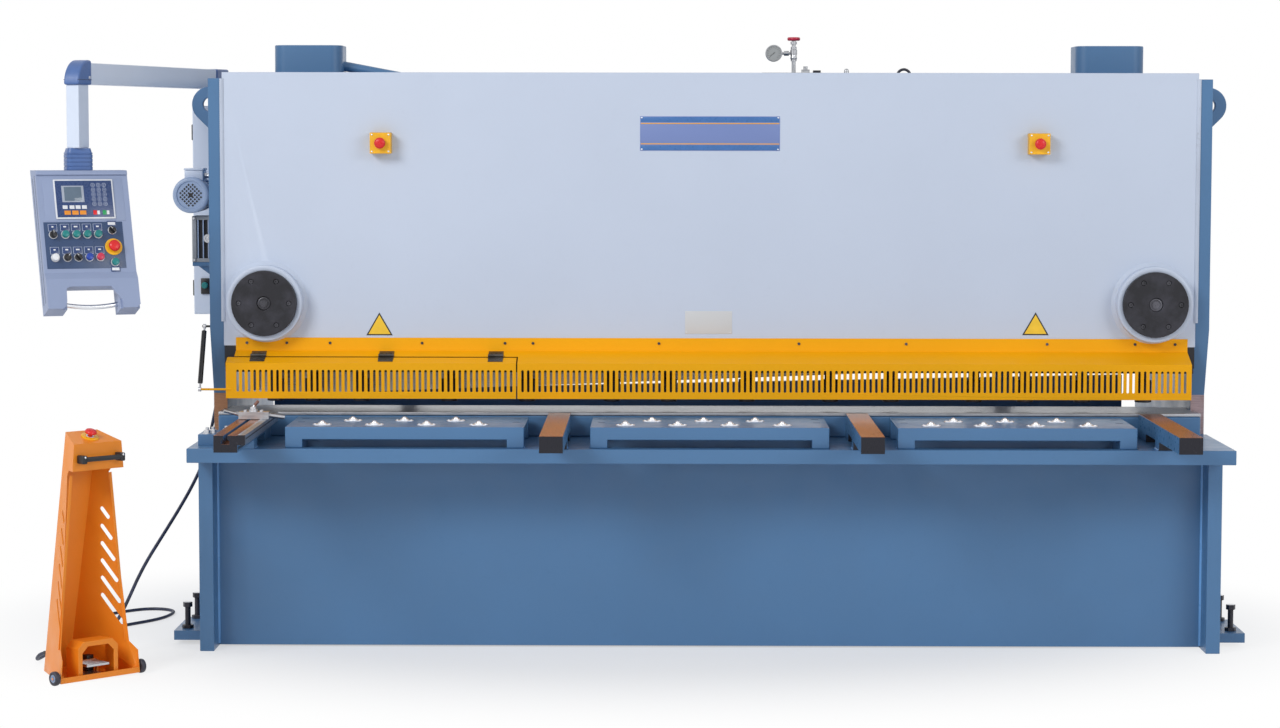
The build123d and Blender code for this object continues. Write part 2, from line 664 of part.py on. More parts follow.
def ram_nodes():
    half = BLADE_L / 2
    blade = plate_y([(-half, blade_edge(-half)), (half, blade_edge(half)),
                     (half, blade_edge(half) + BLADE_H), (-half, blade_edge(-half) + BLADE_H)],
                    CUT_Y + KNIFE_GAP, RAM_FRONT)
    node("upper_blade", blade)
    low = [(-RAM_HALF, blade_edge(-RAM_HALF) + RAM_LIP), (RAM_HALF, blade_edge(RAM_HALF) + RAM_LIP)]
    ram = plate_y(low + [(RAM_HALF, RAM_TOP), (-RAM_HALF, RAM_TOP)], RAM_FRONT, RAM_REAR)
    for z in (RIB_LOW, RAM_TOP - RIB_T):
        ram += block((-RAM_HALF + RIB_END, RAM_HALF - RIB_END), (RAM_REAR, RAM_REAR + RIB_D), (z, z + RIB_T))
    for share in RIB_PLACES:
        x = share * RAM_HALF
        ram += block((x - RIB_T / 2, x + RIB_T / 2), (RAM_REAR, RAM_REAR + RIB_D), (RIB_LOW, RAM_TOP))
    rods = []
    for x in (-CYL_X, CYL_X):
        rods.append(rod((x, CYL_Y, RAM_TOP), (x, CYL_Y, CYL_LOW + CYL_ROD_IN), CYL_ROD_R))
    node("cylinder_rods", *rods)
    for x in (-RAIL_X, RAIL_X):
        ram += block((x - RAIL_W / 2, x + RAIL_W / 2), (RAM_REAR, RAIL_END), (RAIL_Z, RAIL_Z + RAIL_H))
    node("ram_beam", ram)
    slope = math.tan(math.radians(GAUGE_TILT))
    ends = (GAUGE_LEFT, GAUGE_RIGHT)
    bar = plate_y([(ends[0], GAUGE_TOP + ends[0] * slope - GAUGE_H),
                   (ends[1], GAUGE_TOP + ends[1] * slope - GAUGE_H),
                   (ends[1], GAUGE_TOP + ends[1] * slope), (ends[0], GAUGE_TOP + ends[0] * slope)],
                  GAUGE_Y, GAUGE_Y + GAUGE_T)
    for x in (-RAIL_X, RAIL_X):
        wall = CARRIAGE_WALL
        inner = RAIL_W / 2 + RUNNING_GAP
        back = GAUGE_Y + GAUGE_T
        top = RAIL_Z + RAIL_H + RUNNING_GAP
        low = RAIL_Z - RUNNING_GAP
        box = block((x - inner - wall, x + inner + wall), (back, back + CARRIAGE_L), (low - wall, top + wall))
        box -= block((x - inner, x + inner), (back - 1, back + CARRIAGE_L + 1), (low, top))
        hanger = block((x - RAIL_W / 2, x + RAIL_W / 2), (back, back + GAUGE_T),
                       (GAUGE_TOP - GAUGE_H, low - wall))
        bar += box + hanger
    node("backgauge_bar", bar)


def hold_down_nodes():
    top = HOLDER_LOW + HOLDER_H
    holder = block((-HALF_GAP, HALF_GAP), (PANEL_BACK, PANEL_BACK + HOLDER_T), (HOLDER_LOW, top))
    y = PANEL_BACK + HOLDER_T / 2
    feet = []
    low = BED_TOP + PLUNGER_LIFT
    for share in PLUNGERS:
        x = share * HALF_GAP
        holder -= rod((x, y, HOLDER_LOW - 1), (x, y, top - PLUNGER_CAP), PLUNGER_ROD_R + PLUNGER_FIT)
        foot = rod((x, y, low), (x, y, low + PLUNGER_FOOT_H), PLUNGER_R)
        feet.append(foot + rod((x, y, low), (x, y, top - PLUNGER_IN), PLUNGER_ROD_R))
    node("hold_down_beam", holder)
    node("hold_down_plungers", *feet)


def guide_nodes():
    guides = []
    for sx in (-1, 1):
        inner = RAM_HALF + GUIDE_GAP
        guides.append(block((sx * inner, sx * HALF_GAP), (RAM_FRONT, RAM_REAR), (RIB_LOW, GUIDE_TOP)))
    node("ram_guides", *guides)


def panel_nodes():
    panel = block((-HALF_GAP, HALF_GAP), (FRAME_FRONT, PANEL_BACK), (PANEL_LOW, PANEL_TOP))
    covers = []
    for x in (-HOUSING_X, HOUSING_X):
        face = FRAME_FRONT - HOUSING_D
        panel += rod((x, FRAME_FRONT, HOUSING_Z), (x, face, HOUSING_Z), HOUSING_R)
        cover = rod((x, face, HOUSING_Z), (x, face - COVER_D, HOUSING_Z), COVER_R)
        for n in range(COVER_SCREWS):
            turn = 2 * math.pi * n / COVER_SCREWS
            sx = x + COVER_SCREWS_PCD / 2 * math.cos(turn)
            sz = HOUSING_Z + COVER_SCREWS_PCD / 2 * math.sin(turn)
            cover -= rod((sx, face - COVER_D, sz), (sx, face - COVER_D / 2, sz), COVER_SCREW_R)
        cover -= rod((x, face - COVER_D, HOUSING_Z), (x, face - COVER_D / 2, HOUSING_Z), COVER_HUB_R)
        covers.append(cover)
    node("front_panel", panel)
    node("guide_covers", *covers)
    end = HALF_GAP - END_BLOCK_END
    ends = [block((sx * (end - END_BLOCK_W), sx * end), (FRAME_FRONT, PANEL_BACK),
                  (END_BLOCK_LOW, PANEL_LOW)) for sx in (-1, 1)]
    node("panel_end_blocks", *ends)


def guard_profile():
    """The guard's bent section, outer side first, as a closed outline in Y and Z."""
    outer = [(FRAME_FRONT - SHEET_T, GUARD_TOP), (FRAME_FRONT - SHEET_T, GUARD_KNEE),
             (GUARD_Y, GUARD_NOSE), (GUARD_Y, GUARD_LOW)]
    inner = [(GUARD_Y + SHEET_T, GUARD_LOW), (GUARD_Y + SHEET_T, GUARD_NOSE - SHEET_T),
             (FRAME_FRONT, GUARD_KNEE - SHEET_T), (FRAME_FRONT, GUARD_TOP)]
    return outer + inner


def slot_cutters(first, last):
    """Obround slots of the slotted band, from one X to another."""
    cutters = []
    for n in range(SLOTS):
        x = SLOT_FIRST + n * SLOT_PITCH + SLOT_W / 2
        if first + SLOT_W < x < last - SLOT_W:
            shape = Pos(0, 0) * SlotOverall(SLOT_TOP - SLOT_LOW, SLOT_W, rotation=90)
            plane = Plane(origin=(x, GUARD_Y - SHEET_T, (SLOT_TOP + SLOT_LOW) / 2),
                          x_dir=(1, 0, 0), z_dir=(0, -1, 0))
            cutters.append(plane * extrude(shape, -4 * SHEET_T))
    return cutters


def hinge_y():
    """Y of the guard's outer surface at the hinge line."""
    share = (GUARD_KNEE - HINGE_Z) / (GUARD_KNEE - GUARD_NOSE)
    front = FRAME_FRONT - SHEET_T
    return front + share * (GUARD_Y - front)


def guard_nodes():
    whole = plate_x(guard_profile(), GUARD_LEFT, GUARD_RIGHT)
    front = GUARD_Y - GUARD_PAST
    rear = FRAME_FRONT + GUARD_PAST
    for x in (-HOUSING_X, HOUSING_X):
        whole -= rod((x, rear, HOUSING_Z), (x, front, HOUSING_Z), HOUSING_R + BOSS_CLEAR)
    below = block((-FRAME_OUT, DOOR_SEAM), (front, rear), (0, HINGE_Z))
    fixed = whole - below
    fixed -= Part(children=slot_cutters(DOOR_SEAM, GUARD_RIGHT))
    node("guard_fixed", fixed)
    door = plate_x(guard_profile(), DOOR_LEFT, DOOR_SEAM - DOOR_GAP)
    door -= block((-FRAME_OUT, DOOR_SEAM), (front, rear), (HINGE_Z - SEAM_GAP, GUARD_TOP + GUARD_PAST))
    door -= Part(children=slot_cutters(DOOR_LEFT, DOOR_SEAM))
    door += rod((DOOR_LEFT + PIN_IN, STRUT_LOW_Y, STRUT_LOW_Z), (STRUT_X, STRUT_LOW_Y, STRUT_LOW_Z),
                STRUT_STUD_R)
    node("guard_door", door)
    fixed_leaves = []
    door_leaves = []
    for x in HINGES:
        fixed_leaf, door_leaf = hinge(x)
        fixed_leaves.append(fixed_leaf)
        door_leaves.append(door_leaf)
    stud = rod((-FRAME_OUT, STRUT_TOP_Y, STRUT_TOP_Z), (STRUT_X - STRUT_STUD_END, STRUT_TOP_Y, STRUT_TOP_Z),
               STRUT_STUD_R)
    node("guard_hinges", *fixed_leaves, stud)
    node("door_hinge_leaves", *door_leaves)


def hinge(x):
    """One butt hinge on the sloping band: the leaf with the pin, and the door's leaf."""
    slope = Vector(0, FRAME_FRONT - SHEET_T - GUARD_Y, GUARD_KNEE - GUARD_NOSE).normalized()
    plane = Plane(origin=(x, hinge_y(), HINGE_Z), x_dir=(1, 0, 0),
                  z_dir=Vector(1, 0, 0).cross(slope))
    third = HINGE_L / 6
    height = HINGE_R + HINGE_FIT
    clear = HINGE_R + 1

    def bar(x0, x1, radius):
        return rod((x0, 0, height), (x1, 0, height), radius)

    def leaf(side):
        return block((-HINGE_L / 2, HINGE_L / 2), (side * clear, side * LEAF_L), (0, LEAF_T))

    fixed = leaf(1) + bar(-third, third, HINGE_R) + bar(-HINGE_L / 2, HINGE_L / 2, PIN_R)
    fixed += block((-third, third), (0, clear), (HINGE_FIT, LEAF_T))
    door = leaf(-1)
    for side in (-1, 1):
        inner = side * (third + HINGE_FIT)
        outer = side * HINGE_L / 2
        ring = bar(inner, outer, HINGE_R) + block((inner, outer), (-clear, 0), (HINGE_FIT, LEAF_T))
        door += ring - bar(inner - side, outer + side, PIN_R + HINGE_FIT)
    return plane * fixed, plane * door


def strut_eye(y, z):
    """The eye at one end of the strut, and the hole through it."""
    eye = rod((STRUT_X - STRUT_EYE_HALF, y, z), (STRUT_X + STRUT_EYE_HALF, y, z), STRUT_EYE_R)
    reach = STRUT_EYE_HALF + 1
    hole = rod((STRUT_X - reach, y, z), (STRUT_X + reach, y, z), STRUT_STUD_R + STRUT_EYE_FIT)
    return eye, hole


def strut_nodes():
    top = Vector(STRUT_X, STRUT_TOP_Y, STRUT_TOP_Z)
    low = Vector(STRUT_X, STRUT_LOW_Y, STRUT_LOW_Z)
    way = (low - top).normalized()
    start = top + way * (low - top).length * STRUT_TUBE_FROM
    end = low - way * STRUT_NECK
    tube = rod(tuple(start), tuple(end), STRUT_R)
    tube -= rod(tuple(start + way * STRUT_CAP), tuple(end + way), STRUT_BORE_R)
    eye, hole = strut_eye(STRUT_TOP_Y, STRUT_TOP_Z)
    neck = rod(tuple(top + way * STRUT_SHOULDER), tuple(start), STRUT_STUD_R)
    node("strut_tube", (tube + neck + eye) - hole)
    eye, hole = strut_eye(STRUT_LOW_Y, STRUT_LOW_Z)
    shaft = rod(tuple(low - way * STRUT_SHOULDER), tuple(low - way * STRUT_ROD_L), STRUT_ROD_R)
    node("strut_rod", (eye + shaft) - hole)


def top_nodes():
    deck_top = FRAME_TOP - DECK_DROP
    covers = []
    barrels = []
    for x in (-CYL_X, CYL_X):
        base = RectangleRounded(COVER_BOX_L, COVER_BOX_W, COVER_BOX_FILLET)
        cover = Pos(x, CYL_Y, deck_top) * extrude(base, COVER_BOX_TOP - deck_top)
        covers.append(cover)
        barrel = rod((x, CYL_Y, CYL_LOW), (x, CYL_Y, deck_top - DECK_T), CYL_R)
        barrel -= rod((x, CYL_Y, CYL_LOW - 1), (x, CYL_Y, CYL_LOW + CYL_ROD_IN + 20), CYL_ROD_R + PLUNGER_FIT)
        barrels.append(barrel)
    node("cylinder_covers", *covers)
    node("cylinders", *barrels)
    tank = block((-TANK_HALF, TANK_HALF), (TANK_FRONT, UPPER_REAR - SHELF_T), (TANK_LOW, TANK_TOP))
    node("oil_tank", tank)
    low_x = -CYL_X + COVER_BOX_L / 2
    pipe = rod((low_x - PIPE_R, CYL_Y, PIPE_TOP_Z + PIPE_R * PIPE_SLOPE),
               (low_x + PIPE_L, CYL_Y, PIPE_TOP_Z - PIPE_L * PIPE_SLOPE), PIPE_R)
    pipe &= block((low_x, low_x + PIPE_L), (CYL_Y - PIPE_R, CYL_Y + PIPE_R), (deck_top, COVER_BOX_TOP))
    node("cover_pipe", pipe)
    node("gauge_fittings", *top_fittings(deck_top))
    wheel = rod((VALVE_X, FITTING_Y, VALVE_WHEEL_Z), (VALVE_X, FITTING_Y, VALVE_WHEEL_Z + VALVE_WHEEL_T),
                VALVE_WHEEL_R)
    node("valve_handwheel", wheel)


def top_fittings(deck):
    """The manifold with its valve, dial and solenoids, an eye bolt and a nipple, all on the deck."""
    block_top = deck + VALVE_BLOCK_H

    def upright(x, radius, low, top):
        return rod((x, FITTING_Y, low), (x, FITTING_Y, top), radius)

    made = block((VALVE_X + VALVE_BLOCK[0], VALVE_X + VALVE_BLOCK[1]),
                 (FITTING_Y - VALVE_BLOCK_W / 2, FITTING_Y + VALVE_BLOCK_W / 2), (deck, block_top))
    made += upright(VALVE_X, VALVE_STEM_R, block_top - 1, VALVE_WHEEL_Z - RUNNING_GAP)
    for radius, low, top in (VALVE_BODY, VALVE_NUT):
        made += upright(VALVE_X, radius, low, top)
    made += rod((VALVE_X, FITTING_Y, GAUGE_DIAL_Z), (GAUGE_DIAL_X, FITTING_Y, GAUGE_DIAL_Z), DIAL_PIPE_R)
    nut_r, nut_left, nut_right = DIAL_NUT
    made += rod((VALVE_X + nut_left, FITTING_Y, GAUGE_DIAL_Z),
                (VALVE_X + nut_right, FITTING_Y, GAUGE_DIAL_Z), nut_r)
    made += rod((GAUGE_DIAL_X, FITTING_Y - GAUGE_DIAL_D / 2, GAUGE_DIAL_Z),
                (GAUGE_DIAL_X, FITTING_Y + GAUGE_DIAL_D / 2, GAUGE_DIAL_Z), GAUGE_DIAL_R)
    for away, width, height in SOLENOIDS:
        x = VALVE_X + away
        made += block((x - width / 2, x + width / 2), (FITTING_Y - width / 2, FITTING_Y + width / 2),
                      (block_top - 1, block_top + height))
    away, width, height = SOLENOIDS[0]
    made += upright(VALVE_X + away, SOLENOID_CAP[0], block_top, block_top + height + SOLENOID_CAP[1])
    ring = Pos(EYE_BOLT_X, FITTING_Y, EYE_BOLT_Z) * Rot(90, 0, 0) * Torus(EYE_BOLT_R, EYE_BOLT_WIRE)
    eye = ring + upright(EYE_BOLT_X, EYE_BOLT_WIRE + 2, deck, EYE_BOLT_Z - EYE_BOLT_R)
    nipple = upright(NIPPLE_X, NIPPLE_R, deck, NIPPLE_TOP)
    nipple += Pos(NIPPLE_X, FITTING_Y, NIPPLE_TOP) * Sphere(NIPPLE_R)
    return made, eye, nipple


def side_nodes():
    cabinet = block((-FRAME_OUT - CABINET_D, -FRAME_OUT), (CABINET_FRONT, CABINET_FRONT + CABINET_L),
                    (CABINET_LOW, CABINET_TOP))
    motor = rod((MOTOR_X, MOTOR_FRONT, MOTOR_Z), (MOTOR_X, MOTOR_FRONT + MOTOR_L, MOTOR_Z), MOTOR_R)
    start, end, half = MOTOR_SADDLE
    saddle = block((MOTOR_X, -FRAME_OUT), (MOTOR_FRONT + start, MOTOR_FRONT + end),
                   (MOTOR_Z - half, MOTOR_Z + half))
    left, right, front, rear, top = TERMINAL
    box = block((MOTOR_X + left, MOTOR_X + right), (MOTOR_FRONT + front, MOTOR_FRONT + rear),
                (MOTOR_Z + TERMINAL_LOW, MOTOR_Z + top))
    node("fan_motor", motor + saddle + box)
    core = block((-FRAME_OUT - REDUCER_W, -FRAME_OUT), (REDUCER_Y + FIN_DEEP, REDUCER_Y + REDUCER_D),
                 (REDUCER_LOW, REDUCER_TOP))
    pitch = (REDUCER_W - FIN_T) / (FINS - 1)
    for n in range(FINS):
        x = -FRAME_OUT - REDUCER_W + n * pitch
        core += block((x, x + FIN_T), (REDUCER_Y, REDUCER_Y + FIN_DEEP + 1), (REDUCER_LOW, REDUCER_TOP))
    node("finned_reducer", core)
    post_top = ARM_Z - ARM_TUBE_H / 2 - ELBOW_WALL - RUNNING_GAP
    post = rod((PIVOT_X, PIVOT_Y, CABINET_TOP), (PIVOT_X, PIVOT_Y, post_top), PIVOT_R)
    gland = rod((CABLE_ROUTE[0][0], CABLE_ROUTE[0][1], CABINET_LOW), CABLE_ROUTE[0], GLAND_R)
    node("electrical_cabinet", cabinet + post + gland)


def estop(side):
    x = side * ESTOP_X
    half = ESTOP_BOX / 2
    face = FRAME_FRONT - ESTOP_BOX_D
    box = block((x - half, x + half), (face, FRAME_FRONT), (ESTOP_Z - half, ESTOP_Z + half))
    box -= rod((x, face - 1, ESTOP_Z), (x, face + ESTOP_DEEP, ESTOP_Z), ESTOP_STEM_R + PLUNGER_FIT)
    return box, Plane(origin=(x, face, ESTOP_Z), z_dir=(0, -1, 0)) * mushroom()


def estop_nodes():
    left_box, left_button = estop(-1)
    right_box, right_button = estop(1)
    node("estop_boxes", left_box, right_box)
    node("estop_button_left", left_button)
    node("estop_button_right", right_button)


def arm_plane():
    """The pendant arm's upright plane: x along the arm from pivot to elbow, y up."""
    way = Vector(ELBOW_X - PIVOT_X, ELBOW_Y - PIVOT_Y, 0).normalized()
    return Plane(origin=(PIVOT_X, PIVOT_Y, 0), x_dir=way, z_dir=way.cross(Vector(0, 0, 1)))


def elbow(plane, at):
    """The moulded corner piece over the drop tube, at a distance along the arm."""
    low = ARM_Z - ARM_TUBE_H / 2 - ELBOW_WALL
    top = ARM_Z + ARM_TUBE_H / 2 + 4 * ELBOW_WALL
    reach = ELBOW_REACH
    back = ELBOW_BACK
    corner = make_face([
        Line((-back, low), (reach, low)),
        ThreePointArc((reach, low), (reach * ELBOW_BULGE[0], low + (top - low) * ELBOW_BULGE[1]),
                      (-back, top)),
        Line((-back, top), (-back, low)),
    ])
    half = ARM_TUBE_W / 2 + 2 * ELBOW_WALL
    return plane * Pos(at, 0, -half) * extrude(corner, 2 * half)


def mushroom():
    """An emergency stop button about its own axis: its stem enters a bore below z 0."""
    stem = Pos(0, 0, -ESTOP_RISE / 2) * extrude(Circle(ESTOP_STEM_R), 1.5 * ESTOP_RISE)
    return stem + Pos(0, 0, ESTOP_RISE) * extrude(Circle(ESTOP_R), ESTOP_CAP_H)


def pendant_plane():
    """The operator panel's frame: origin at the swivel axis on the coupling's lower end."""
    turn = math.radians(PANEL_YAW)
    return Plane(origin=(ELBOW_X, ELBOW_Y, COUPLING_LOW), x_dir=(math.cos(turn), math.sin(turn), 0),
                 z_dir=(0, 0, 1))


def pendant_nodes():
    plane = arm_plane()
    reach = math.hypot(ELBOW_X - PIVOT_X, ELBOW_Y - PIVOT_Y)
    tube = plane * Pos(reach / 2, ARM_Z, 0) * Box(reach - 2 * ELBOW_BACK, ARM_TUBE_H, ARM_TUBE_W)
    low = ARM_Z - ARM_TUBE_H / 2 - ELBOW_WALL
    drop = plane * Pos(reach, (low + DROP_LOW) / 2, 0) * Box(DROP_L, low - DROP_LOW, DROP_W)
    node("pendant_tubes", tube, drop)
    front = elbow(plane, reach)
    rear = plane * Pos(0, ARM_Z, 0) * Box(2 * ELBOW_BACK, ARM_TUBE_H + 2 * ELBOW_WALL,
                                          ARM_TUBE_W + 4 * ELBOW_WALL)
    node("pendant_elbows", front, rear)
    panel = pendant_plane()
    section = RectangleRounded(COUPLING_W, COUPLING_L, COUPLING_FILLET)
    coupling = panel * extrude(section, DROP_LOW - COUPLING_LOW - RUNNING_GAP)
    node("pendant_coupling", coupling)
    lean = math.radians(PANEL_LEAN)
    down = (-math.sin(lean), -math.cos(lean))
    out = (-math.cos(lean), math.sin(lean))
    back = PANEL_D / (2 * math.cos(lean))

    def at(s, t):
        """Y and Z of a point s down the face and t out from its back, in the panel's frame."""
        return (back + s * down[0] + t * out[0], s * down[1] + t * out[1])

    side = Plane(origin=panel.origin, x_dir=panel.y_dir, z_dir=panel.x_dir)
    profile = make_face(Polyline(at(-PANEL_D, 0), at(-PANEL_D, PANEL_D), at(PANEL_S, PANEL_D),
                                 at(PANEL_S, 0), close=True))
    profile -= Pos(0, PANEL_S / 2) * Rectangle(PANEL_S, PANEL_S)
    housing = side * Pos(0, 0, -PANEL_W / 2) * extrude(profile, PANEL_W)
    gap_half = PANEL_W / 2 - PANEL_LEG_W
    over = PANEL_D / 2
    gap = make_face(Polyline(at(PANEL_S - PANEL_LEG_S, -over), at(PANEL_S - PANEL_LEG_S, PANEL_D + over),
                             at(PANEL_S + over, PANEL_D + over), at(PANEL_S + over, -over), close=True))
    housing -= side * Pos(0, 0, -gap_half) * extrude(gap, 2 * gap_half)
    face = Plane(origin=side.from_local_coords(Vector(*at(0, PANEL_D), 0)), x_dir=panel.x_dir,
                 z_dir=side.x_dir * out[0] + side.y_dir * out[1])
    stop = face * Pos(STOP_SHIFT, -STOP_S, 0)
    bore = ESTOP_STEM_R + PLUNGER_FIT
    node("pendant_housing", housing - stop * Pos(0, 0, -ESTOP_DEEP) * extrude(Circle(bore), 2 * ESTOP_DEEP))
    by, bz = at(PANEL_S - BAR_UP, PANEL_D / 2)
    bar = side * Pos(by, bz, -gap_half) * extrude(Circle(BAR_R), 2 * gap_half)
    node("pendant_handle", bar)
    controls = []
    for s, shifts, radius in CONTROLS:
        for x in shifts:
            controls.append(face * Pos(x, -s, 0) * extrude(Circle(radius), CONTROL_H))
    ring = stop * extrude(Circle(ESTOP_RING_R) - Circle(bore), ESTOP_RING_T)
    node("pendant_controls", *controls, ring)
    node("pendant_estop", stop * mushroom())


def stand_plane():
    turn = math.radians(STAND_TURN)
    return Plane(origin=(STAND_X, STAND_Y, 0), x_dir=(math.cos(turn), math.sin(turn), 0), z_dir=(0, 0, 1))


def stand_prism(inset):
    """The upright slab between the column's tapering side walls, moved in by inset."""
    low = STAND_BASE_FRONT - inset
    high = STAND_TOP_FRONT - inset
    outline = make_face(Polyline((-low, STAND_LOW), (low, STAND_LOW), (high, STAND_FRONT_H),
                                 (-high, STAND_FRONT_H), close=True))
    return Plane(origin=(0, -STAND_BASE_D / 2, 0), x_dir=(1, 0, 0), z_dir=(0, -1, 0)) * extrude(
        outline, -STAND_BASE_D)


def stand_column(inset):
    """The tapered column between its base and its sloping top, as a solid moved in by inset."""
    base = make_face(Polyline((-STAND_BASE_FRONT + inset, inset), (STAND_BASE_FRONT - inset, inset),
                              (STAND_BASE_REAR - inset, STAND_BASE_D - inset),
                              (-STAND_BASE_REAR + inset, STAND_BASE_D - inset), close=True))
    high = STAND_REAR_H + STAND_OVER
    share = high / STAND_FRONT_H
    front = STAND_BASE_FRONT + (STAND_TOP_FRONT - STAND_BASE_FRONT) * share
    rear = STAND_BASE_REAR + (STAND_TOP_REAR - STAND_BASE_REAR) * share
    deep = STAND_BASE_D + (STAND_TOP_D - STAND_BASE_D) * share
    top = make_face(Polyline((-front + inset, inset), (front - inset, inset),
                             (rear - inset, deep - inset), (-rear + inset, deep - inset), close=True))
    return loft([Pos(0, 0, STAND_LOW) * base, Pos(0, 0, high) * top])


def stand_side_cuts():
    """The slanted slots of both side walls, as bars across the stand."""
    across = Plane(origin=(-STAND_BASE_FRONT, 0, 0), x_dir=(0, 1, 0), z_dir=(1, 0, 0))
    cuts = []
    for n in range(STAND_SLOTS):
        share = n / (STAND_SLOTS - 1)
        rear, front = [Vector(*top) + (Vector(*low) - Vector(*top)) * share
                       for top, low in (STAND_SLOT_REAR, STAND_SLOT_FRONT)]
        way = rear - front
        shape = SlotOverall(way.length + STAND_SLOT_W, STAND_SLOT_W,
                            rotation=math.degrees(math.atan2(way.Y, way.X)))
        middle = (rear + front) / 2
        cuts.append(across * extrude(Pos(middle.X, middle.Y) * shape, 2 * STAND_BASE_FRONT))
    return cuts


def hood_outline(inset, low):
    """The pedal hood's front outline with its cut corners, moved in by inset."""
    half = HOOD_HALF - inset
    top = HOOD_H - inset
    cut = HOOD_CHAMFER
    return [(-half, low), (-half, top - cut), (-half + cut, top), (half - cut, top),
            (half, top - cut), (half, low)]


def stand_nodes():
    plane = stand_plane()
    slope = math.degrees(math.atan2(STAND_REAR_H - STAND_FRONT_H, STAND_TOP_D))
    floor = STAND_LOW + STAND_T
    big = 4 * STAND_BASE_D
    lid = Rot(slope, 0, 0) * Pos(0, 0, big / 2) * Box(big, big, big)
    outer = stand_column(0) - Pos(0, 0, STAND_FRONT_H) * lid
    inner = stand_column(STAND_T) - Pos(0, 0, STAND_FRONT_H - STAND_T) * lid
    inner -= Pos(0, 0, STAND_LOW) * Box(big, big, 2 * STAND_T)
    shell = outer - inner
    fascia = STAND_FRONT_H - FASCIA_H
    opening = block((-STAND_BASE_FRONT, STAND_BASE_FRONT), (-STAND_T, 2 * STAND_T),
                    (floor + STAND_LIP, fascia))
    shell -= opening & stand_prism(STAND_T)
    ahead = -STAND_T
    cheek = [(ahead, fascia), *[(y, fascia - down) for y, down in CHEEK_TOP], *CHEEK_STEP,
             (ahead, CHEEK_STEP[-1][1])]
    shell -= plate_x(cheek, -STAND_BASE_FRONT, STAND_BASE_FRONT)
    for cut in stand_side_cuts():
        shell -= cut
    top_y = STAND_TOP_D * STAND_STOP_SHARE
    stop = Pos(0, top_y, STAND_FRONT_H + top_y * math.tan(math.radians(slope))) * Rot(slope, 0, 0)
    shell -= stop * Pos(0, 0, -ESTOP_DEEP) * extrude(Circle(ESTOP_STEM_R + PLUNGER_FIT), 2 * ESTOP_DEEP)
    for side in (-1, 1):
        shell += block([side * STAND_BASE_REAR * share for share in STAND_FOOT[0]],
                       [STAND_BASE_D * share for share in STAND_FOOT[1]], (0, STAND_LOW + 1))
        shell += rod((side * (STAND_BASE_FRONT - WHEEL_T), WHEEL_Y, WHEEL_R),
                     (side * (STAND_BASE_FRONT + WHEEL_CLEAR + WHEEL_T), WHEEL_Y, WHEEL_R), AXLE_R)
        shell += block((side * (PEDAL_HALF + WHEEL_CLEAR), side * (PEDAL_HALF + 3 * WHEEL_CLEAR)),
                       (PEDAL_PIN_Y - PEDAL_HUB_R, PEDAL_PIN_Y + PEDAL_HUB_R),
                       (floor, PEDAL_PIN_Z + PEDAL_HUB_R))
    lug = PEDAL_HALF + 2 * WHEEL_CLEAR
    shell += rod((-lug, PEDAL_PIN_Y, PEDAL_PIN_Z), (lug, PEDAL_PIN_Y, PEDAL_PIN_Z), PEDAL_PIN_R)
    end = plane.to_local_coords(Vector(*CABLE_ROUTE[-1]))
    wall = STAND_BASE_D + (STAND_TOP_D - STAND_BASE_D) * end.Z / STAND_FRONT_H
    shell += rod((end.X, wall - STAND_T, end.Z), (end.X, end.Y, end.Z), GLAND_R)
    node("stand_shell", plane * shell)
    rear = HOOD_Y + HOOD_D
    hood = plate_y(hood_outline(0, floor), HOOD_Y, rear)
    hood -= plate_y(hood_outline(STAND_T, floor - 1), HOOD_Y + STAND_T, rear + 1)
    hood -= plate_y(hood_outline(HOOD_RIM, floor - 1), HOOD_Y - 1, rear)
    node("stand_hood", plane * hood)
    handle = rod((-HANDLE_HALF - HANDLE_R, -HANDLE_REACH, HANDLE_Z),
                 (HANDLE_HALF + HANDLE_R, -HANDLE_REACH, HANDLE_Z), HANDLE_R)
    for x in (-HANDLE_HALF, HANDLE_HALF):
        handle += rod((x, 0, HANDLE_Z), (x, -HANDLE_REACH, HANDLE_Z), HANDLE_R - 1)
    node("stand_handle", plane * handle)
    for side, name in ((-1, "left"), (1, "right")):
        inner_x = side * (STAND_BASE_FRONT + WHEEL_CLEAR)
        wheel = rod((inner_x, WHEEL_Y, WHEEL_R), (inner_x + side * WHEEL_T, WHEEL_Y, WHEEL_R), WHEEL_R)
        wheel -= rod((inner_x - side, WHEEL_Y, WHEEL_R), (inner_x + side * (WHEEL_T + 1), WHEEL_Y, WHEEL_R),
                     AXLE_R + RUNNING_GAP)
        node("stand_wheel_" + name, plane * wheel)
    pedal = block((-PEDAL_HALF, PEDAL_HALF), (PEDAL_FRONT, PEDAL_PIN_Y),
                  (PEDAL_PIN_Z - PEDAL_T / 2, PEDAL_PIN_Z + PEDAL_T / 2))
    pedal += rod((-PEDAL_HALF, PEDAL_PIN_Y, PEDAL_PIN_Z), (PEDAL_HALF, PEDAL_PIN_Y, PEDAL_PIN_Z), PEDAL_HUB_R)
    pedal -= rod((-lug, PEDAL_PIN_Y, PEDAL_PIN_Z), (lug, PEDAL_PIN_Y, PEDAL_PIN_Z), PEDAL_PIN_R + RUNNING_GAP)
    node("foot_pedal", plane * pedal)
    node("stand_estop", plane * stop * mushroom())


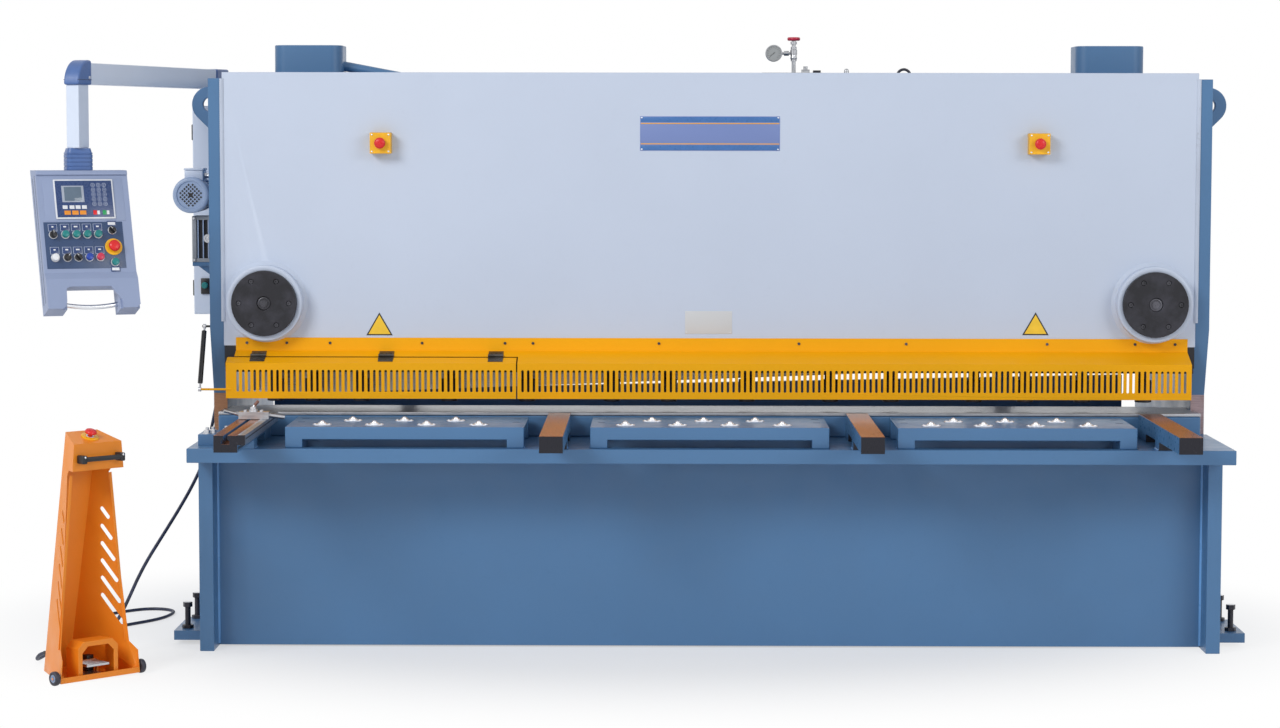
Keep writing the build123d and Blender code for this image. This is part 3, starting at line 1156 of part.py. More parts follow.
def cable_nodes():
    points = [Vector(*p) for p in CABLE_ROUTE]
    radii = []
    for a, b, c in zip(points, points[1:], points[2:]):
        turn = math.radians((b - a).get_angle(c - b))
        shorter = min((b - a).length, (c - b).length)
        radii.append(CABLE_SHARE * shorter / math.tan(turn / 2))
    print("cable: least radius", round(min(radii), 1), "run lengths",
          round(min((b - a).length for a, b in zip(points, points[1:])), 1),
          round(max((b - a).length for a, b in zip(points, points[1:])), 1))
    path = FilletPolyline(*points, radius=radii)
    section = Plane(origin=points[0], z_dir=points[1] - points[0]) * Circle(CABLE_R)
    tube = sweep(section, path=path)
    print("cable: length", round(path.length), "volume share",
          round(tube.volume / (math.pi * CABLE_R ** 2 * path.length), 4))
    node("pedal_cable", tube)


frame_nodes()
feet_nodes()
bed_nodes()
pad_nodes()
arm_nodes()
ram_nodes()
hold_down_nodes()
guide_nodes()
panel_nodes()
guard_nodes()
strut_nodes()
top_nodes()
side_nodes()
estop_nodes()
pendant_nodes()
stand_nodes()
cable_nodes()

for name, shape in nodes.items():
    export_step(shape, f"parts/{name}.step")
print(len(nodes), "nodes")
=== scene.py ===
"""Finish, fittings, light and camera for a hydraulic plate shear, built around its solids."""
import json
import math

import bmesh
import bpy
from bpy.props import FloatProperty, FloatVectorProperty, IntProperty, PointerProperty
from mathutils import Matrix, Vector


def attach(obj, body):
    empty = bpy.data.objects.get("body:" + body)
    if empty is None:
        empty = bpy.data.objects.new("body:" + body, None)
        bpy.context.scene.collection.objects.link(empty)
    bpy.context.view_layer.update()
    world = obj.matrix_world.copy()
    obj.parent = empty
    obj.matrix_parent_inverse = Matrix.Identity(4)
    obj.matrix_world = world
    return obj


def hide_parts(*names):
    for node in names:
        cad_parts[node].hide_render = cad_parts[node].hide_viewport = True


bl_info = {
    "name": "Plate Shear",
    "version": (1, 0, 0),
    "blender": (4, 5, 0),
    "location": "View3D > Sidebar > Shear",
    "description": "Paints and fits out a hydraulic guillotine shear and sets it in a studio",
    "category": "Object",
}

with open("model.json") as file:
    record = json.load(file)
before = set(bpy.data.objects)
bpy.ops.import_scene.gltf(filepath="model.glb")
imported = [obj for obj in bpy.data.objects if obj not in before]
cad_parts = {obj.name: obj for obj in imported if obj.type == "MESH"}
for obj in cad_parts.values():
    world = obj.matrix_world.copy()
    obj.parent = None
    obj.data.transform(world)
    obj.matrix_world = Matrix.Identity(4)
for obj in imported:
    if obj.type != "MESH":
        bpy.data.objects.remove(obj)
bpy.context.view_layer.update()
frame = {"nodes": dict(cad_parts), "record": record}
NODES = frame["nodes"]
SLOT_OF = {part["node"]: part["material_slot"] for part in frame["record"]["subparts"]}
BODY_OF = {node: body for body, members in frame["record"]["behaviour"]["bodies"].items()
           for node in members}
MM = 0.001
FULL_TURN = 2 * math.pi

# Places and angles that several pieces share, in millimetres and degrees
PANEL_FRONT = -600
FRAME_INSIDE = 1750
FRAME_OUTSIDE = 1800
TABLE_TOP = 740
PENDANT_TOP = (-2200, -950, 1697)
PANEL_YAW = 24
PANEL_LEAN = 20
PANEL_DEPTH = 76
STAND_FOOT = (-2046, -1465, 0)
STAND_TURN = 45.9


def colour_property(name, description, value):
    """A paint or surface colour with its alpha left at 1."""
    return FloatVectorProperty(name=name, description=description, default=(*value, 1.0), size=4,
                               subtype="COLOR", min=0.0, max=1.0)


def length_property(name, description, millimetres):
    """A length in metres, stated in millimetres."""
    return FloatProperty(name=name, description=description, default=millimetres * MM,
                         unit="LENGTH", min=0.0)


class ShearColours(bpy.types.PropertyGroup):
    """Colours of the machine's paints and metals."""

    blue: colour_property("Frame blue", "Paint of the side frames, table and base", (0.066, 0.172, 0.338))
    white: colour_property("Panel white", "Paint of the front panel and the beams behind the guard",
                           (0.545, 0.61, 0.735))
    yellow: colour_property("Guard yellow", "Paint of the slotted guard", (0.90, 0.415, 0.001))
    orange: colour_property("Stand orange", "Powder coat of the pedal stand", (0.86, 0.26, 0.012))
    pale: colour_property("Arm paint", "Paint of the pendant's arm and the cabinet", (0.66, 0.73, 0.86))
    grey: colour_property("Operator panel grey", "Paint of the operator panel", (0.272, 0.331, 0.495))
    motor: colour_property("Motor grey", "Paint of the fan motor", (0.247, 0.319, 0.456))
    black: colour_property("Cast black", "Blacked castings and covers", (0.018, 0.018, 0.024))
    steel: colour_property("Bright steel", "Ground and milled steel", (0.50, 0.51, 0.54))
    # The brown of the arm tops is a painted reflection of the orange guard on bare milled steel.
    arm_top_reflection: colour_property("Arm top reflection", "Milled tops of the arms", (0.44, 0.155, 0.055))
    red: colour_property("Stop red", "Mushroom heads and the valve wheel", (0.72, 0.012, 0.014))
    amber: colour_property("Stop box yellow", "Housings and rings of the emergency stops",
                           (0.90, 0.47, 0.012))
    teal: colour_property("Button teal", "Push buttons", (0.006, 0.20, 0.20))
    navy: colour_property("Cable navy", "Sheath of the pedal's cable", (0.010, 0.014, 0.035))


class ShearStudio(bpy.types.PropertyGroup):
    """Light and camera."""

    daylight: FloatProperty(name="Room light", description="Even light from all round", default=0.42,
                            min=0.0)
    key: FloatProperty(name="Key lamp", description="Large soft lamp at the upper left", default=560.0,
                       min=0.0, subtype="POWER", unit="POWER")
    fill: FloatProperty(name="Fill lamp", description="Large soft lamp at the upper right", default=240.0,
                        min=0.0, subtype="POWER", unit="POWER")
    lens: FloatProperty(name="Lens", description="Focal length on a 36 mm sensor", default=84.375,
                        min=1.0, subtype="DISTANCE_CAMERA")
    pitch: FloatProperty(name="Pitch", description="Camera's tilt below the horizon", default=0.0759,
                         subtype="ANGLE", unit="ROTATION")


def colours():
    return bpy.context.scene.shear_colours


# Materials


def plug(tree, socket, value):
    """Links an input to another node's socket, or sets it to a value."""
    if isinstance(value, bpy.types.NodeSocket):
        tree.links.new(value, socket)
    else:
        socket.default_value = value


def feed(tree, node, **sockets):
    """Plugs a node's inputs by their names, with low lines for the spaces."""
    for name, value in sockets.items():
        plug(tree, node.inputs[name.replace("_", " ")], value)


def add(tree, kind, settings=None, **sockets):
    """A new shader node with its settings and its inputs."""
    made = tree.nodes.new("ShaderNode" + kind)
    for name, value in (settings or {}).items():
        setattr(made, name, value)
    feed(tree, made, **sockets)
    return made


def blank(name, roughness=0.5, metallic=0.0, coat=0.0):
    """A new material with its tree, its shader and its object coordinates."""
    material = bpy.data.materials.new(name)
    material.use_nodes = True
    tree = material.node_tree
    shader = tree.nodes["Principled BSDF"]
    feed(tree, shader, Roughness=roughness, Metallic=metallic, Coat_Weight=coat, Coat_Roughness=0.15)
    return material, tree, shader, add(tree, "TexCoord").outputs["Object"]


def stretched(tree, place, scale):
    """Object coordinates scaled on each axis, for brushed or streaked surfaces."""
    return add(tree, "Mapping", Vector=place, Scale=scale).outputs["Vector"]


def noise(tree, place, scale, detail=3.0, rough=0.55):
    return add(tree, "TexNoise", Vector=place, Scale=scale, Detail=detail, Roughness=rough).outputs["Fac"]


def spread(tree, value, low, high, start=0.3, end=0.7):
    """Maps a noise to a range of numbers."""
    return add(tree, "MapRange", Value=value, From_Min=start, From_Max=end, To_Min=low,
               To_Max=high).outputs["Result"]


def shade(tree, fac, first, second):
    """A colour between two others."""
    made = add(tree, "Mix", {"data_type": "RGBA"})
    for number, value in ((0, fac), (6, first), (7, second)):
        plug(tree, made.inputs[number], value)
    return made.outputs[2]


def reckon(tree, operation, first, second):
    """A sum of two numbers."""
    made = add(tree, "Math", {"operation": operation})
    plug(tree, made.inputs[0], first)
    plug(tree, made.inputs[1], second)
    return made.outputs[0]


def blended(tree, fac, first, second):
    """A shader between two others."""
    made = add(tree, "MixShader", Fac=fac)
    plug(tree, made.inputs[1], first)
    plug(tree, made.inputs[2], second)
    return made.outputs[0]


def times(colour, factor):
    """A colour made darker or lighter."""
    return (*[min(1.0, c * factor) for c in tuple(colour)[:3]], 1.0)


def bumps(tree, shader, height, strength, distance):
    made = add(tree, "Bump", Height=height, Strength=strength, Distance=distance)
    feed(tree, shader, Normal=made.outputs["Normal"])


def sprayed(name, colour, roughness=0.38, mottle=0.05, peel=0.12, grime=0.12, coat=0.15, gloss=0.5):
    """Sprayed machine enamel: slow drift of tone, faint runs of dust, orange peel."""
    material, tree, shader, place = blank(name, roughness, coat=coat)
    feed(tree, shader, Specular_IOR_Level=gloss)
    clouds = spread(tree, noise(tree, place, 1.7, 4.0), 0.0, 1.0)
    tone = shade(tree, clouds, times(colour, 1 - mottle), times(colour, 1 + mottle))
    specks = noise(tree, place, 34.0, 6.0, 0.7)
    dust = spread(tree, specks, 0.0, grime, 0.58, 0.80)
    tone = shade(tree, dust, tone, times(colour, 0.45))
    feed(tree, shader, Base_Color=tone)
    rough = spread(tree, noise(tree, place, 9.0), roughness - 0.07, roughness + 0.10)
    feed(tree, shader, Roughness=rough)
    bumps(tree, shader, noise(tree, place, 620.0, 2.0), peel, 0.0004)
    return material


def powder(name, colour):
    """Powder coat with its fine even grain."""
    return sprayed(name, colour, roughness=0.45, mottle=0.04, peel=0.22, grime=0.06, coat=0.05)


def moulded(name, colour, roughness=0.35):
    """Moulded plastic with a fine texture."""
    material, tree, shader, place = blank(name, roughness)
    drift = spread(tree, noise(tree, place, 25.0), 0.0, 1.0)
    feed(tree, shader, Base_Color=shade(tree, drift, times(colour, 0.92), times(colour, 1.06)))
    rough = spread(tree, noise(tree, place, 160.0), roughness - 0.06, roughness + 0.08)
    feed(tree, shader, Roughness=rough)
    bumps(tree, shader, noise(tree, place, 1500.0, 2.0), 0.10, 0.0002)
    return material


def milled(name, colour, grain=(3.0, 220.0, 220.0), roughness=0.30, stain=0.35):
    """Milled or ground steel with its tool marks along one axis and old oil stains."""
    material, tree, shader, place = blank(name, roughness, metallic=1.0)
    marks = noise(tree, stretched(tree, place, grain), 4.0, 3.0, 0.6)
    tone = shade(tree, spread(tree, marks, 0.0, 1.0), times(colour, 0.72), times(colour, 1.12))
    oil = spread(tree, noise(tree, place, 7.0, 5.0, 0.65), 0.0, stain, 0.52, 0.72)
    tone = shade(tree, oil, tone, times(colour, 0.30))
    feed(tree, shader, Base_Color=tone)
    feed(tree, shader, Roughness=spread(tree, marks, roughness - 0.08, roughness + 0.16))
    bumps(tree, shader, marks, 0.25, 0.0003)
    return material


def blacked(name, colour, roughness=0.42):
    """Blacked cast iron: fine grain with rubbed, slightly brighter patches."""
    material, tree, shader, place = blank(name, roughness, metallic=0.35)
    grain = noise(tree, place, 240.0, 4.0, 0.7)
    rub = spread(tree, noise(tree, place, 12.0, 5.0, 0.6), 0.0, 1.0, 0.45, 0.75)
    feed(tree, shader, Base_Color=shade(tree, rub, times(colour, 0.8), times(colour, 2.4)))
    feed(tree, shader, Roughness=spread(tree, grain, roughness - 0.1, roughness + 0.15))
    bumps(tree, shader, grain, 0.35, 0.0004)
    return material


def plated(name, colour=(0.78, 0.80, 0.84), roughness=0.12):
    """Chrome or zinc plate with light scratches."""
    material, tree, shader, place = blank(name, roughness, metallic=1.0)
    hair = noise(tree, stretched(tree, place, (40.0, 900.0, 40.0)), 3.0, 3.0)
    feed(tree, shader, Base_Color=shade(tree, hair, times(colour, 0.88), times(colour, 1.05)))
    feed(tree, shader, Roughness=spread(tree, hair, roughness, roughness + 0.12))
    bumps(tree, shader, hair, 0.08, 0.0001)
    return material


def arm_steel(name, colour_set):
    """Support arms: milled tops in a brown that is a painted reflection of the orange guard, blacked ends
    with chipped paint, blue painted sides.
    """
    material, tree, shader, place = blank(name, 0.35)
    feed(tree, shader, Specular_IOR_Level=0.2)
    normal = add(tree, "SeparateXYZ", Vector=add(tree, "NewGeometry").outputs["Normal"])
    top = reckon(tree, "GREATER_THAN", normal.outputs["Z"], 0.6)
    end = reckon(tree, "LESS_THAN", normal.outputs["Y"], -0.6)
    marks = noise(tree, stretched(tree, place, (240.0, 16.0, 20.0)), 3.0, 4.0, 0.6)
    # Upward faces take the brown painted reflection, streaked along the tool marks.
    arm_top_reflection = shade(tree, spread(tree, marks, 0.0, 1.0), times(colour_set.arm_top_reflection, 0.55),
                  times(colour_set.arm_top_reflection, 1.35))
    chips = spread(tree, noise(tree, place, 190.0, 4.0, 0.7), 0.0, 1.0, 0.66, 0.70)
    black = shade(tree, chips, times(colour_set.black, 1.2), times(colour_set.steel, 0.5))
    blue = shade(tree, spread(tree, noise(tree, place, 5.0), 0.0, 1.0), times(colour_set.blue, 0.85),
                 times(colour_set.blue, 1.05))
    tone = shade(tree, top, shade(tree, end, blue, black), arm_top_reflection)
    feed(tree, shader, Base_Color=tone, Metallic=top)
    feed(tree, shader, Roughness=spread(tree, marks, 0.22, 0.42))
    bumps(tree, shader, marks, 0.25, 0.0003)
    return material


def sheathed(name, colour):
    """Cable sheath: soft rubber with a faint dusty bloom."""
    material, tree, shader, place = blank(name, 0.5)
    bloom = spread(tree, noise(tree, place, 45.0, 4.0), 0.0, 1.0)
    feed(tree, shader, Base_Color=shade(tree, bloom, times(colour, 0.8), times(colour, 2.2)))
    bumps(tree, shader, noise(tree, place, 900.0, 2.0), 0.15, 0.0002)
    return material


def flame_cut(name, colour):
    """Bare flame-cut steel: drag lines across the cut, rust and heat tint, no gloss."""
    material, tree, shader, place = blank(name, 0.55, metallic=0.1)
    lines = noise(tree, stretched(tree, place, (14.0, 14.0, 420.0)), 2.0, 3.0, 0.6)
    tone = shade(tree, spread(tree, lines, 0.0, 1.0), times(colour, 0.72), times(colour, 1.18))
    rust = spread(tree, noise(tree, place, 16.0, 5.0, 0.65), 0.0, 0.6, 0.52, 0.74)
    tone = shade(tree, rust, tone, (0.20, 0.085, 0.035, 1.0))
    feed(tree, shader, Base_Color=tone)
    bumps(tree, shader, lines, 0.5, 0.0006)
    return material


MOULDINGS = {
    "white_moulding": (0.35, 0.72, 0.74, 0.78), "grip_brown": (0.45, 0.20, 0.085, 0.06),
    "plate_blue": (0.30, 0.05, 0.16, 0.42), "sign_yellow": (0.35, 0.88, 0.56, 0.03),
    "dial_film": (0.20, 0.40, 0.41, 0.40), "wheel_red": (0.35, 0.50, 0.015, 0.05),
    "elbow_blue": (0.36, 0.072, 0.145, 0.36), "legend": (0.28, 0.020, 0.050, 0.16),
    "field_blue": (0.32, 0.028, 0.060, 0.145), "screen": (0.10, 0.11, 0.16, 0.22),
    "screen_bezel": (0.35, 0.36, 0.40, 0.48), "key_white": (0.32, 0.78, 0.79, 0.82),
    "key_pale": (0.35, 0.42, 0.47, 0.60), "key_green": (0.32, 0.02, 0.33, 0.10),
    "orange_moulding": (0.32, 0.80, 0.28, 0.02), "blue_button": (0.28, 0.012, 0.055, 0.38),
    "pink_button": (0.28, 0.58, 0.03, 0.08), "shadow_blue": (0.60, 0.02, 0.05, 0.11),
    "shadow_grey": (0.60, 0.045, 0.05, 0.07), "black_gloss": (0.16, 0.010, 0.010, 0.012),
}


def stock():
    """Every finish of the machine, made once, by the name of its slot or of what it is on."""
    c = colours()
    return {
        "frame_blue": sprayed("blue_enamel", c.blue),
        "panel_white": sprayed("white_enamel", c.white, 0.48, 0.02, 0.12, 0.05, 0.0),
        "guard_yellow": sprayed("yellow_enamel", c.yellow, 0.48, 0.03, 0.12, 0.05, 0.0, 0.22),
        "stand_orange": powder("orange_powder_coat", c.orange),
        "bright_steel": milled("ground_steel", c.steel),
        "dark_steel": blacked("blacked_steel", times(c.black, 1.3)),
        "cast_black": blacked("black_castings", c.black, 0.38),
        "chrome": plated("chrome_plate"),
        "panel_grey": powder("grey_powder_coat", c.grey),
        "arm_light": sprayed("pale_enamel", c.pale, mottle=0.03, grime=0.05),
        "motor_grey": sprayed("motor_enamel", c.motor),
        "button_red": moulded("red_moulding", c.red, 0.28),
        "box_yellow": moulded("amber_moulding", c.amber, 0.38),
        "control_mix": moulded("teal_moulding", c.teal, 0.30),
        "black_plastic": moulded("black_moulding", (0.012, 0.012, 0.015, 1.0), 0.42),
        "cable_dark": sheathed("cable_sheath", c.navy),
        "wheel_rubber": sheathed("wheel_tread", (0.02, 0.02, 0.03, 1.0)),
        "arm_steel": arm_steel("arm_steel", c),
        "zinc": plated("zinc_plate", (0.62, 0.63, 0.66), 0.30),
        "white_weld": sprayed("white_weld", times(c.white, 0.9), 0.5, 0.12, 0.6, 0.5),
        # The blue beads are 1.9 times lighter than the frame's blue: a painted highlight along their round
        # backs.
        "highlit_blue_weld": sprayed("highlit_blue_weld", times(c.blue, 1.9), 0.30, 0.2, 0.6, 0.3),
        "throat_brown": flame_cut("throat_brown", (0.44, 0.215, 0.11)),
        "throat_grey": flame_cut("throat_grey", (0.42, 0.31, 0.33)),
        "plate_pale": sprayed("plate_film", (0.17, 0.235, 0.49), 0.35, 0.01, 0.0, 0.02),
        "notice_film": sprayed("notice_film", (0.60, 0.61, 0.62), 0.35, 0.01, 0.0, 0.02),
        "cap_screws": blacked("blacked_screws", (0.05, 0.05, 0.06), 0.30),
        "hinge_steel": blacked("hinge_steel", (0.05, 0.045, 0.04), 0.35),
        "bright_plate": plated("bright_plate", (0.90, 0.90, 0.92), 0.38),
        "ball_steel": plated("ball_steel", (0.85, 0.86, 0.88), 0.06),
        "lever_steel": plated("lever_steel", (0.30, 0.29, 0.29), 0.30),
        "fitting_steel": plated("fitting_steel", (0.42, 0.43, 0.45), 0.28),
        "tread_plate": milled("tread_plate", (0.58, 0.59, 0.61), (120.0, 120.0, 120.0), 0.34),
        # A copy of the motor grey 1.35 times lighter: painted light on the motor body and on the finned
        # unit's front faces.
        "motor_enamel_highlit": sprayed("highlit_motor_enamel", times(c.motor, 1.35)),
        "mottled_casting": sprayed("mottled_casting", (0.26, 0.28, 0.31), 0.5, 0.35, 0.5, 0.6),
        **{name: moulded(name, tone, rough) for name, (rough, *tone) in MOULDINGS.items()},
    }


FINISH = {}


# Making pieces, whose sizes are given in millimetres


def at(x, y, z):
    """A point given in millimetres."""
    return Vector((x, y, z)) * MM


def moved(x, y, z):
    """A step given in millimetres."""
    return Matrix.Translation(at(x, y, z))


def linked(name, data):
    """A new object of the scene."""
    item = bpy.data.objects.new(name, data)
    bpy.context.scene.collection.objects.link(item)
    return item


def shown(made, name):
    """A new object of the scene from a bmesh, which ends here."""
    mesh = bpy.data.meshes.new(name)
    made.to_mesh(mesh)
    made.free()
    return linked(name, mesh)


def settle(made, name, body, slot, finish=None, sharp=35.0, bevel=0.0, segments=2):
    """Turns a bmesh into a piece that rides on a body, with an optional live bevel."""
    piece = shown(made, name)
    mesh = piece.data
    mesh.materials.append(FINISH[finish or slot])
    mesh.shade_smooth()
    mesh.set_sharp_from_angle(angle=math.radians(sharp))
    if bevel:
        edge = piece.modifiers.new("edges", "BEVEL")
        edge.width = bevel * MM
        edge.segments = segments
        edge.limit_method = "ANGLE"
        edge.angle_limit = math.radians(sharp)
        edge.harden_normals = True
    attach(piece, body)
    return piece


def copy_of(node):
    """A CAD node's mesh with its points joined and its flat faces made whole."""
    made = bmesh.new()
    made.from_mesh(NODES[node].data)
    bmesh.ops.remove_doubles(made, verts=made.verts, dist=2e-6)
    bmesh.ops.dissolve_limit(made, angle_limit=math.radians(0.4), verts=made.verts, edges=made.edges)
    return made


def softened(node, bevel, finish=None, sharp=35.0, segments=2):
    """A CAD node with its edges broken by a small bevel, in place of the node."""
    piece = settle(copy_of(node), node + "_finished", BODY_OF[node], SLOT_OF[node], finish, sharp,
                   bevel, segments)
    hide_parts(node)
    return piece


def disc(radius, top, foot=0):
    """The profile of a plain disc or rod, for turned."""
    return [(0, foot), (radius, foot), (radius, top), (0, top)]


def turned(made, profile, place, steps=32):
    """Adds a solid of revolution: profile is (radius, height) from the axis back to the axis."""
    known = set(made.verts)
    points = [made.verts.new((radius * MM, 0, height * MM)) for radius, height in profile]
    edges = [made.edges.new(pair) for pair in zip(points, points[1:])]
    bmesh.ops.spin(made, geom=points + edges, cent=(0, 0, 0), axis=(0, 0, 1), angle=FULL_TURN,
                   steps=steps, use_merge=True)
    bmesh.ops.remove_doubles(made, verts=[vert for vert in made.verts if vert not in known], dist=1e-6)
    fresh = [vert for vert in made.verts if vert not in known]
    faces = list({face for vert in fresh for face in vert.link_faces})
    bmesh.ops.recalc_face_normals(made, faces=faces)
    bmesh.ops.transform(made, matrix=place, verts=fresh)
    return fresh


def slab(made, low, high, place=Matrix.Identity(4), bevel=0.0, segments=2):
    """Adds a box between two corners, with its edges rounded."""
    low, high = at(*low), at(*high)
    size = Matrix.Diagonal((*(high - low), 1.0))
    box = bmesh.ops.create_cube(made, size=1.0, matrix=Matrix.Translation((low + high) / 2) @ size)
    verts = box["verts"]
    if bevel:
        edges = list({edge for vert in verts for edge in vert.link_edges})
        rounded = bmesh.ops.bevel(made, geom=edges, offset=bevel * MM, segments=segments, profile=0.5,
                                  affect="EDGES", material=-1, clamp_overlap=True)
        verts = list({vert for face in rounded["faces"] for vert in face.verts}
                     | {v for v in verts if v.is_valid})
    bmesh.ops.transform(made, matrix=place, verts=verts)
    return verts


def facing(origin, outward, up=(0, 0, 1)):
    """A frame at a point with its Z outward and its Y as near to up as it can be."""
    z = Vector(outward).normalized()
    x = Vector(up).cross(z).normalized()
    y = z.cross(x)
    turn = Matrix((x, y, z)).transposed().to_4x4()
    return Matrix.Translation(Vector(origin)) @ turn


def hexagon_head(made, place, radius, height):
    """Adds a hexagon bolt head with chamfered corners."""
    turned(made, [(0, 0), (radius, 0), (radius, height * 0.86), (radius * 0.88, height), (0, height)],
           place, 6)


def socket_screw(made, place, radius, height):
    """Adds a cap screw with its hexagon socket."""
    turned(made, [(0, 0), (radius, 0), (radius, height * 0.88), (radius * 0.9, height),
                  (radius * 0.52, height), (radius * 0.5, height * 0.45), (0, height * 0.45)], place, 18)


def pan_screw(made, place, radius):
    """Adds a low domed screw head with a round recess."""
    turned(made, [(0, 0), (radius, 0), (radius * 0.94, radius * 0.35), (radius * 0.6, radius * 0.55),
                  (radius * 0.22, radius * 0.60), (radius * 0.18, radius * 0.35), (0, radius * 0.35)],
           place, 16)


# Places on the machine


def forward(x, y, z):
    """A frame at a point of the machine's front, looking at the operator."""
    return facing(at(x, y, z), (0, -1, 0))


def panel_face(across=0, down=0, lift=0):
    """A place on the operator panel's face, measured from the middle of its upper end."""
    yaw, lean = math.radians(PANEL_YAW), math.radians(PANEL_LEAN)
    right = Vector((math.cos(yaw), math.sin(yaw), 0))
    inward = Vector((-math.sin(yaw), math.cos(yaw), 0))
    out = Vector((0, 0, math.sin(lean))) - inward * math.cos(lean)
    up = out.cross(right)
    top = at(*PENDANT_TOP) + (inward * (PANEL_DEPTH / 2 / math.cos(lean)) + out * PANEL_DEPTH) * MM
    turn = Matrix((right, up, out)).transposed().to_4x4()
    return Matrix.Translation(top + (right * across - up * down + out * lift) * MM) @ turn


def stand_place(across=0, inward=0, height=0, tilt=0.0):
    """A place on the pedal stand, measured from the middle of its front edge on the floor."""
    return (moved(*STAND_FOOT) @ Matrix.Rotation(math.radians(STAND_TURN), 4, "Z")
            @ moved(across, inward, height) @ Matrix.Rotation(tilt, 4, "X"))


# Shapes that several pieces have


def tower(made, place, width, depth, radius, levels, corner=28):
    """Adds a rounded block: levels are (height, growth) from its foot to its top."""
    ring = bmesh.ops.create_circle(made, cap_ends=True, segments=corner, radius=radius * MM,
                                   matrix=Matrix.Rotation(math.pi / corner, 4, "Z"))
    verts = ring["verts"]
    face = verts[0].link_faces[0]
    for vert in verts:
        vert.co.x += math.copysign((width / 2 - radius) * MM, vert.co.x)
        vert.co.y += math.copysign((depth / 2 - radius) * MM, vert.co.y)
    whole = []
    fresh = list(verts)
    grown = 0.0
    for height, growth in levels:
        if whole:
            raised = bmesh.ops.extrude_face_region(made, geom=[face])
            fresh = [item for item in raised["geom"] if isinstance(item, bmesh.types.BMVert)]
            face = next(item for item in raised["geom"] if isinstance(item, bmesh.types.BMFace))
        for vert in fresh:
            vert.co.x *= (width / 2 + growth) / (width / 2 + grown)
            vert.co.y *= (depth / 2 + growth) / (depth / 2 + grown)
            vert.co.z = height * MM
        grown = growth
        whole += fresh
    bmesh.ops.recalc_face_normals(made, faces=list({f for vert in whole for f in vert.link_faces}))
    bmesh.ops.transform(made, matrix=place, verts=whole)


def obround(made, place, length, width, height, edge=0.6):
    """Adds a flat plate with round ends."""
    tower(made, place, length, width, width / 2 - 0.01, [(0, 0), (height - edge, 0), (height, -edge)], 26)


def pressed(made, place, outline, low, high, slope=0.0):
    """Adds a plate cut to an outline, from one lift to another; slope moves its first edge in on top."""
    verts = [made.verts.new((x * MM, y * MM, low * MM)) for x, y in outline]
    face = made.faces.new(verts)
    raised = bmesh.ops.extrude_face_region(made, geom=[face])
    fresh = [item for item in raised["geom"] if isinstance(item, bmesh.types.BMVert)]
    first = max(y for x, y in outline)
    for vert in fresh:
        vert.co.z = high * MM
        if vert.co.y > first * MM - 1e-6:
            vert.co.y -= slope * MM
    bmesh.ops.recalc_face_normals(made, faces=list({f for vert in verts + fresh for f in vert.link_faces}))
    bmesh.ops.transform(made, matrix=place, verts=verts + fresh)


def strip(made, start, end, outward, width, thick):
    """Adds a flat bar from one point of the scene to another, its thickness along outward."""
    along = end - start
    place = facing((start + end) / 2, outward, along)
    length = along.length / MM / 2
    slab(made, (-width / 2, -length, 0), (width / 2, length, thick), place)


def bead(made, start, end, outward, width=9.0, ripple=7.0):
    """Adds a weld bead along a joint: a low rippled strip with a round back."""
    start, way = at(*start), at(*end) - at(*start)
    length = way.length / MM
    outward = Vector(outward).normalized()
    across = way.normalized().cross(outward)
    grid = bmesh.ops.create_grid(made, x_segments=max(4, int(length / ripple * 2)), y_segments=4, size=0.5)
    for vert in grid["verts"]:
        share = vert.co.x + 0.5
        arc = vert.co.y * math.pi
        wave = 1.0 + 0.16 * math.sin(share * length / ripple * FULL_TURN)
        reach = width * MM / 2 * wave
        vert.co = start + way * share + (across * math.sin(arc) + outward * math.cos(arc) * 0.55) * reach
    faces = list({face for vert in grid["verts"] for face in vert.link_faces})
    bmesh.ops.recalc_face_normals(made, faces=faces)
    middle = grid["verts"][len(grid["verts"]) // 2].link_faces[0]
    middle.normal_update()
    if middle.normal.dot(outward) < 0:
        bmesh.ops.reverse_faces(made, faces=faces)


def repaint(piece, finish, test):
    """Gives the faces that pass a test another finish; test takes their middle in mm and normal."""
    piece.data.materials.append(FINISH[finish])
    for face in piece.data.polygons:
        if test(face.center / MM, face.normal):
            face.material_index = len(piece.data.materials) - 1


# The operators


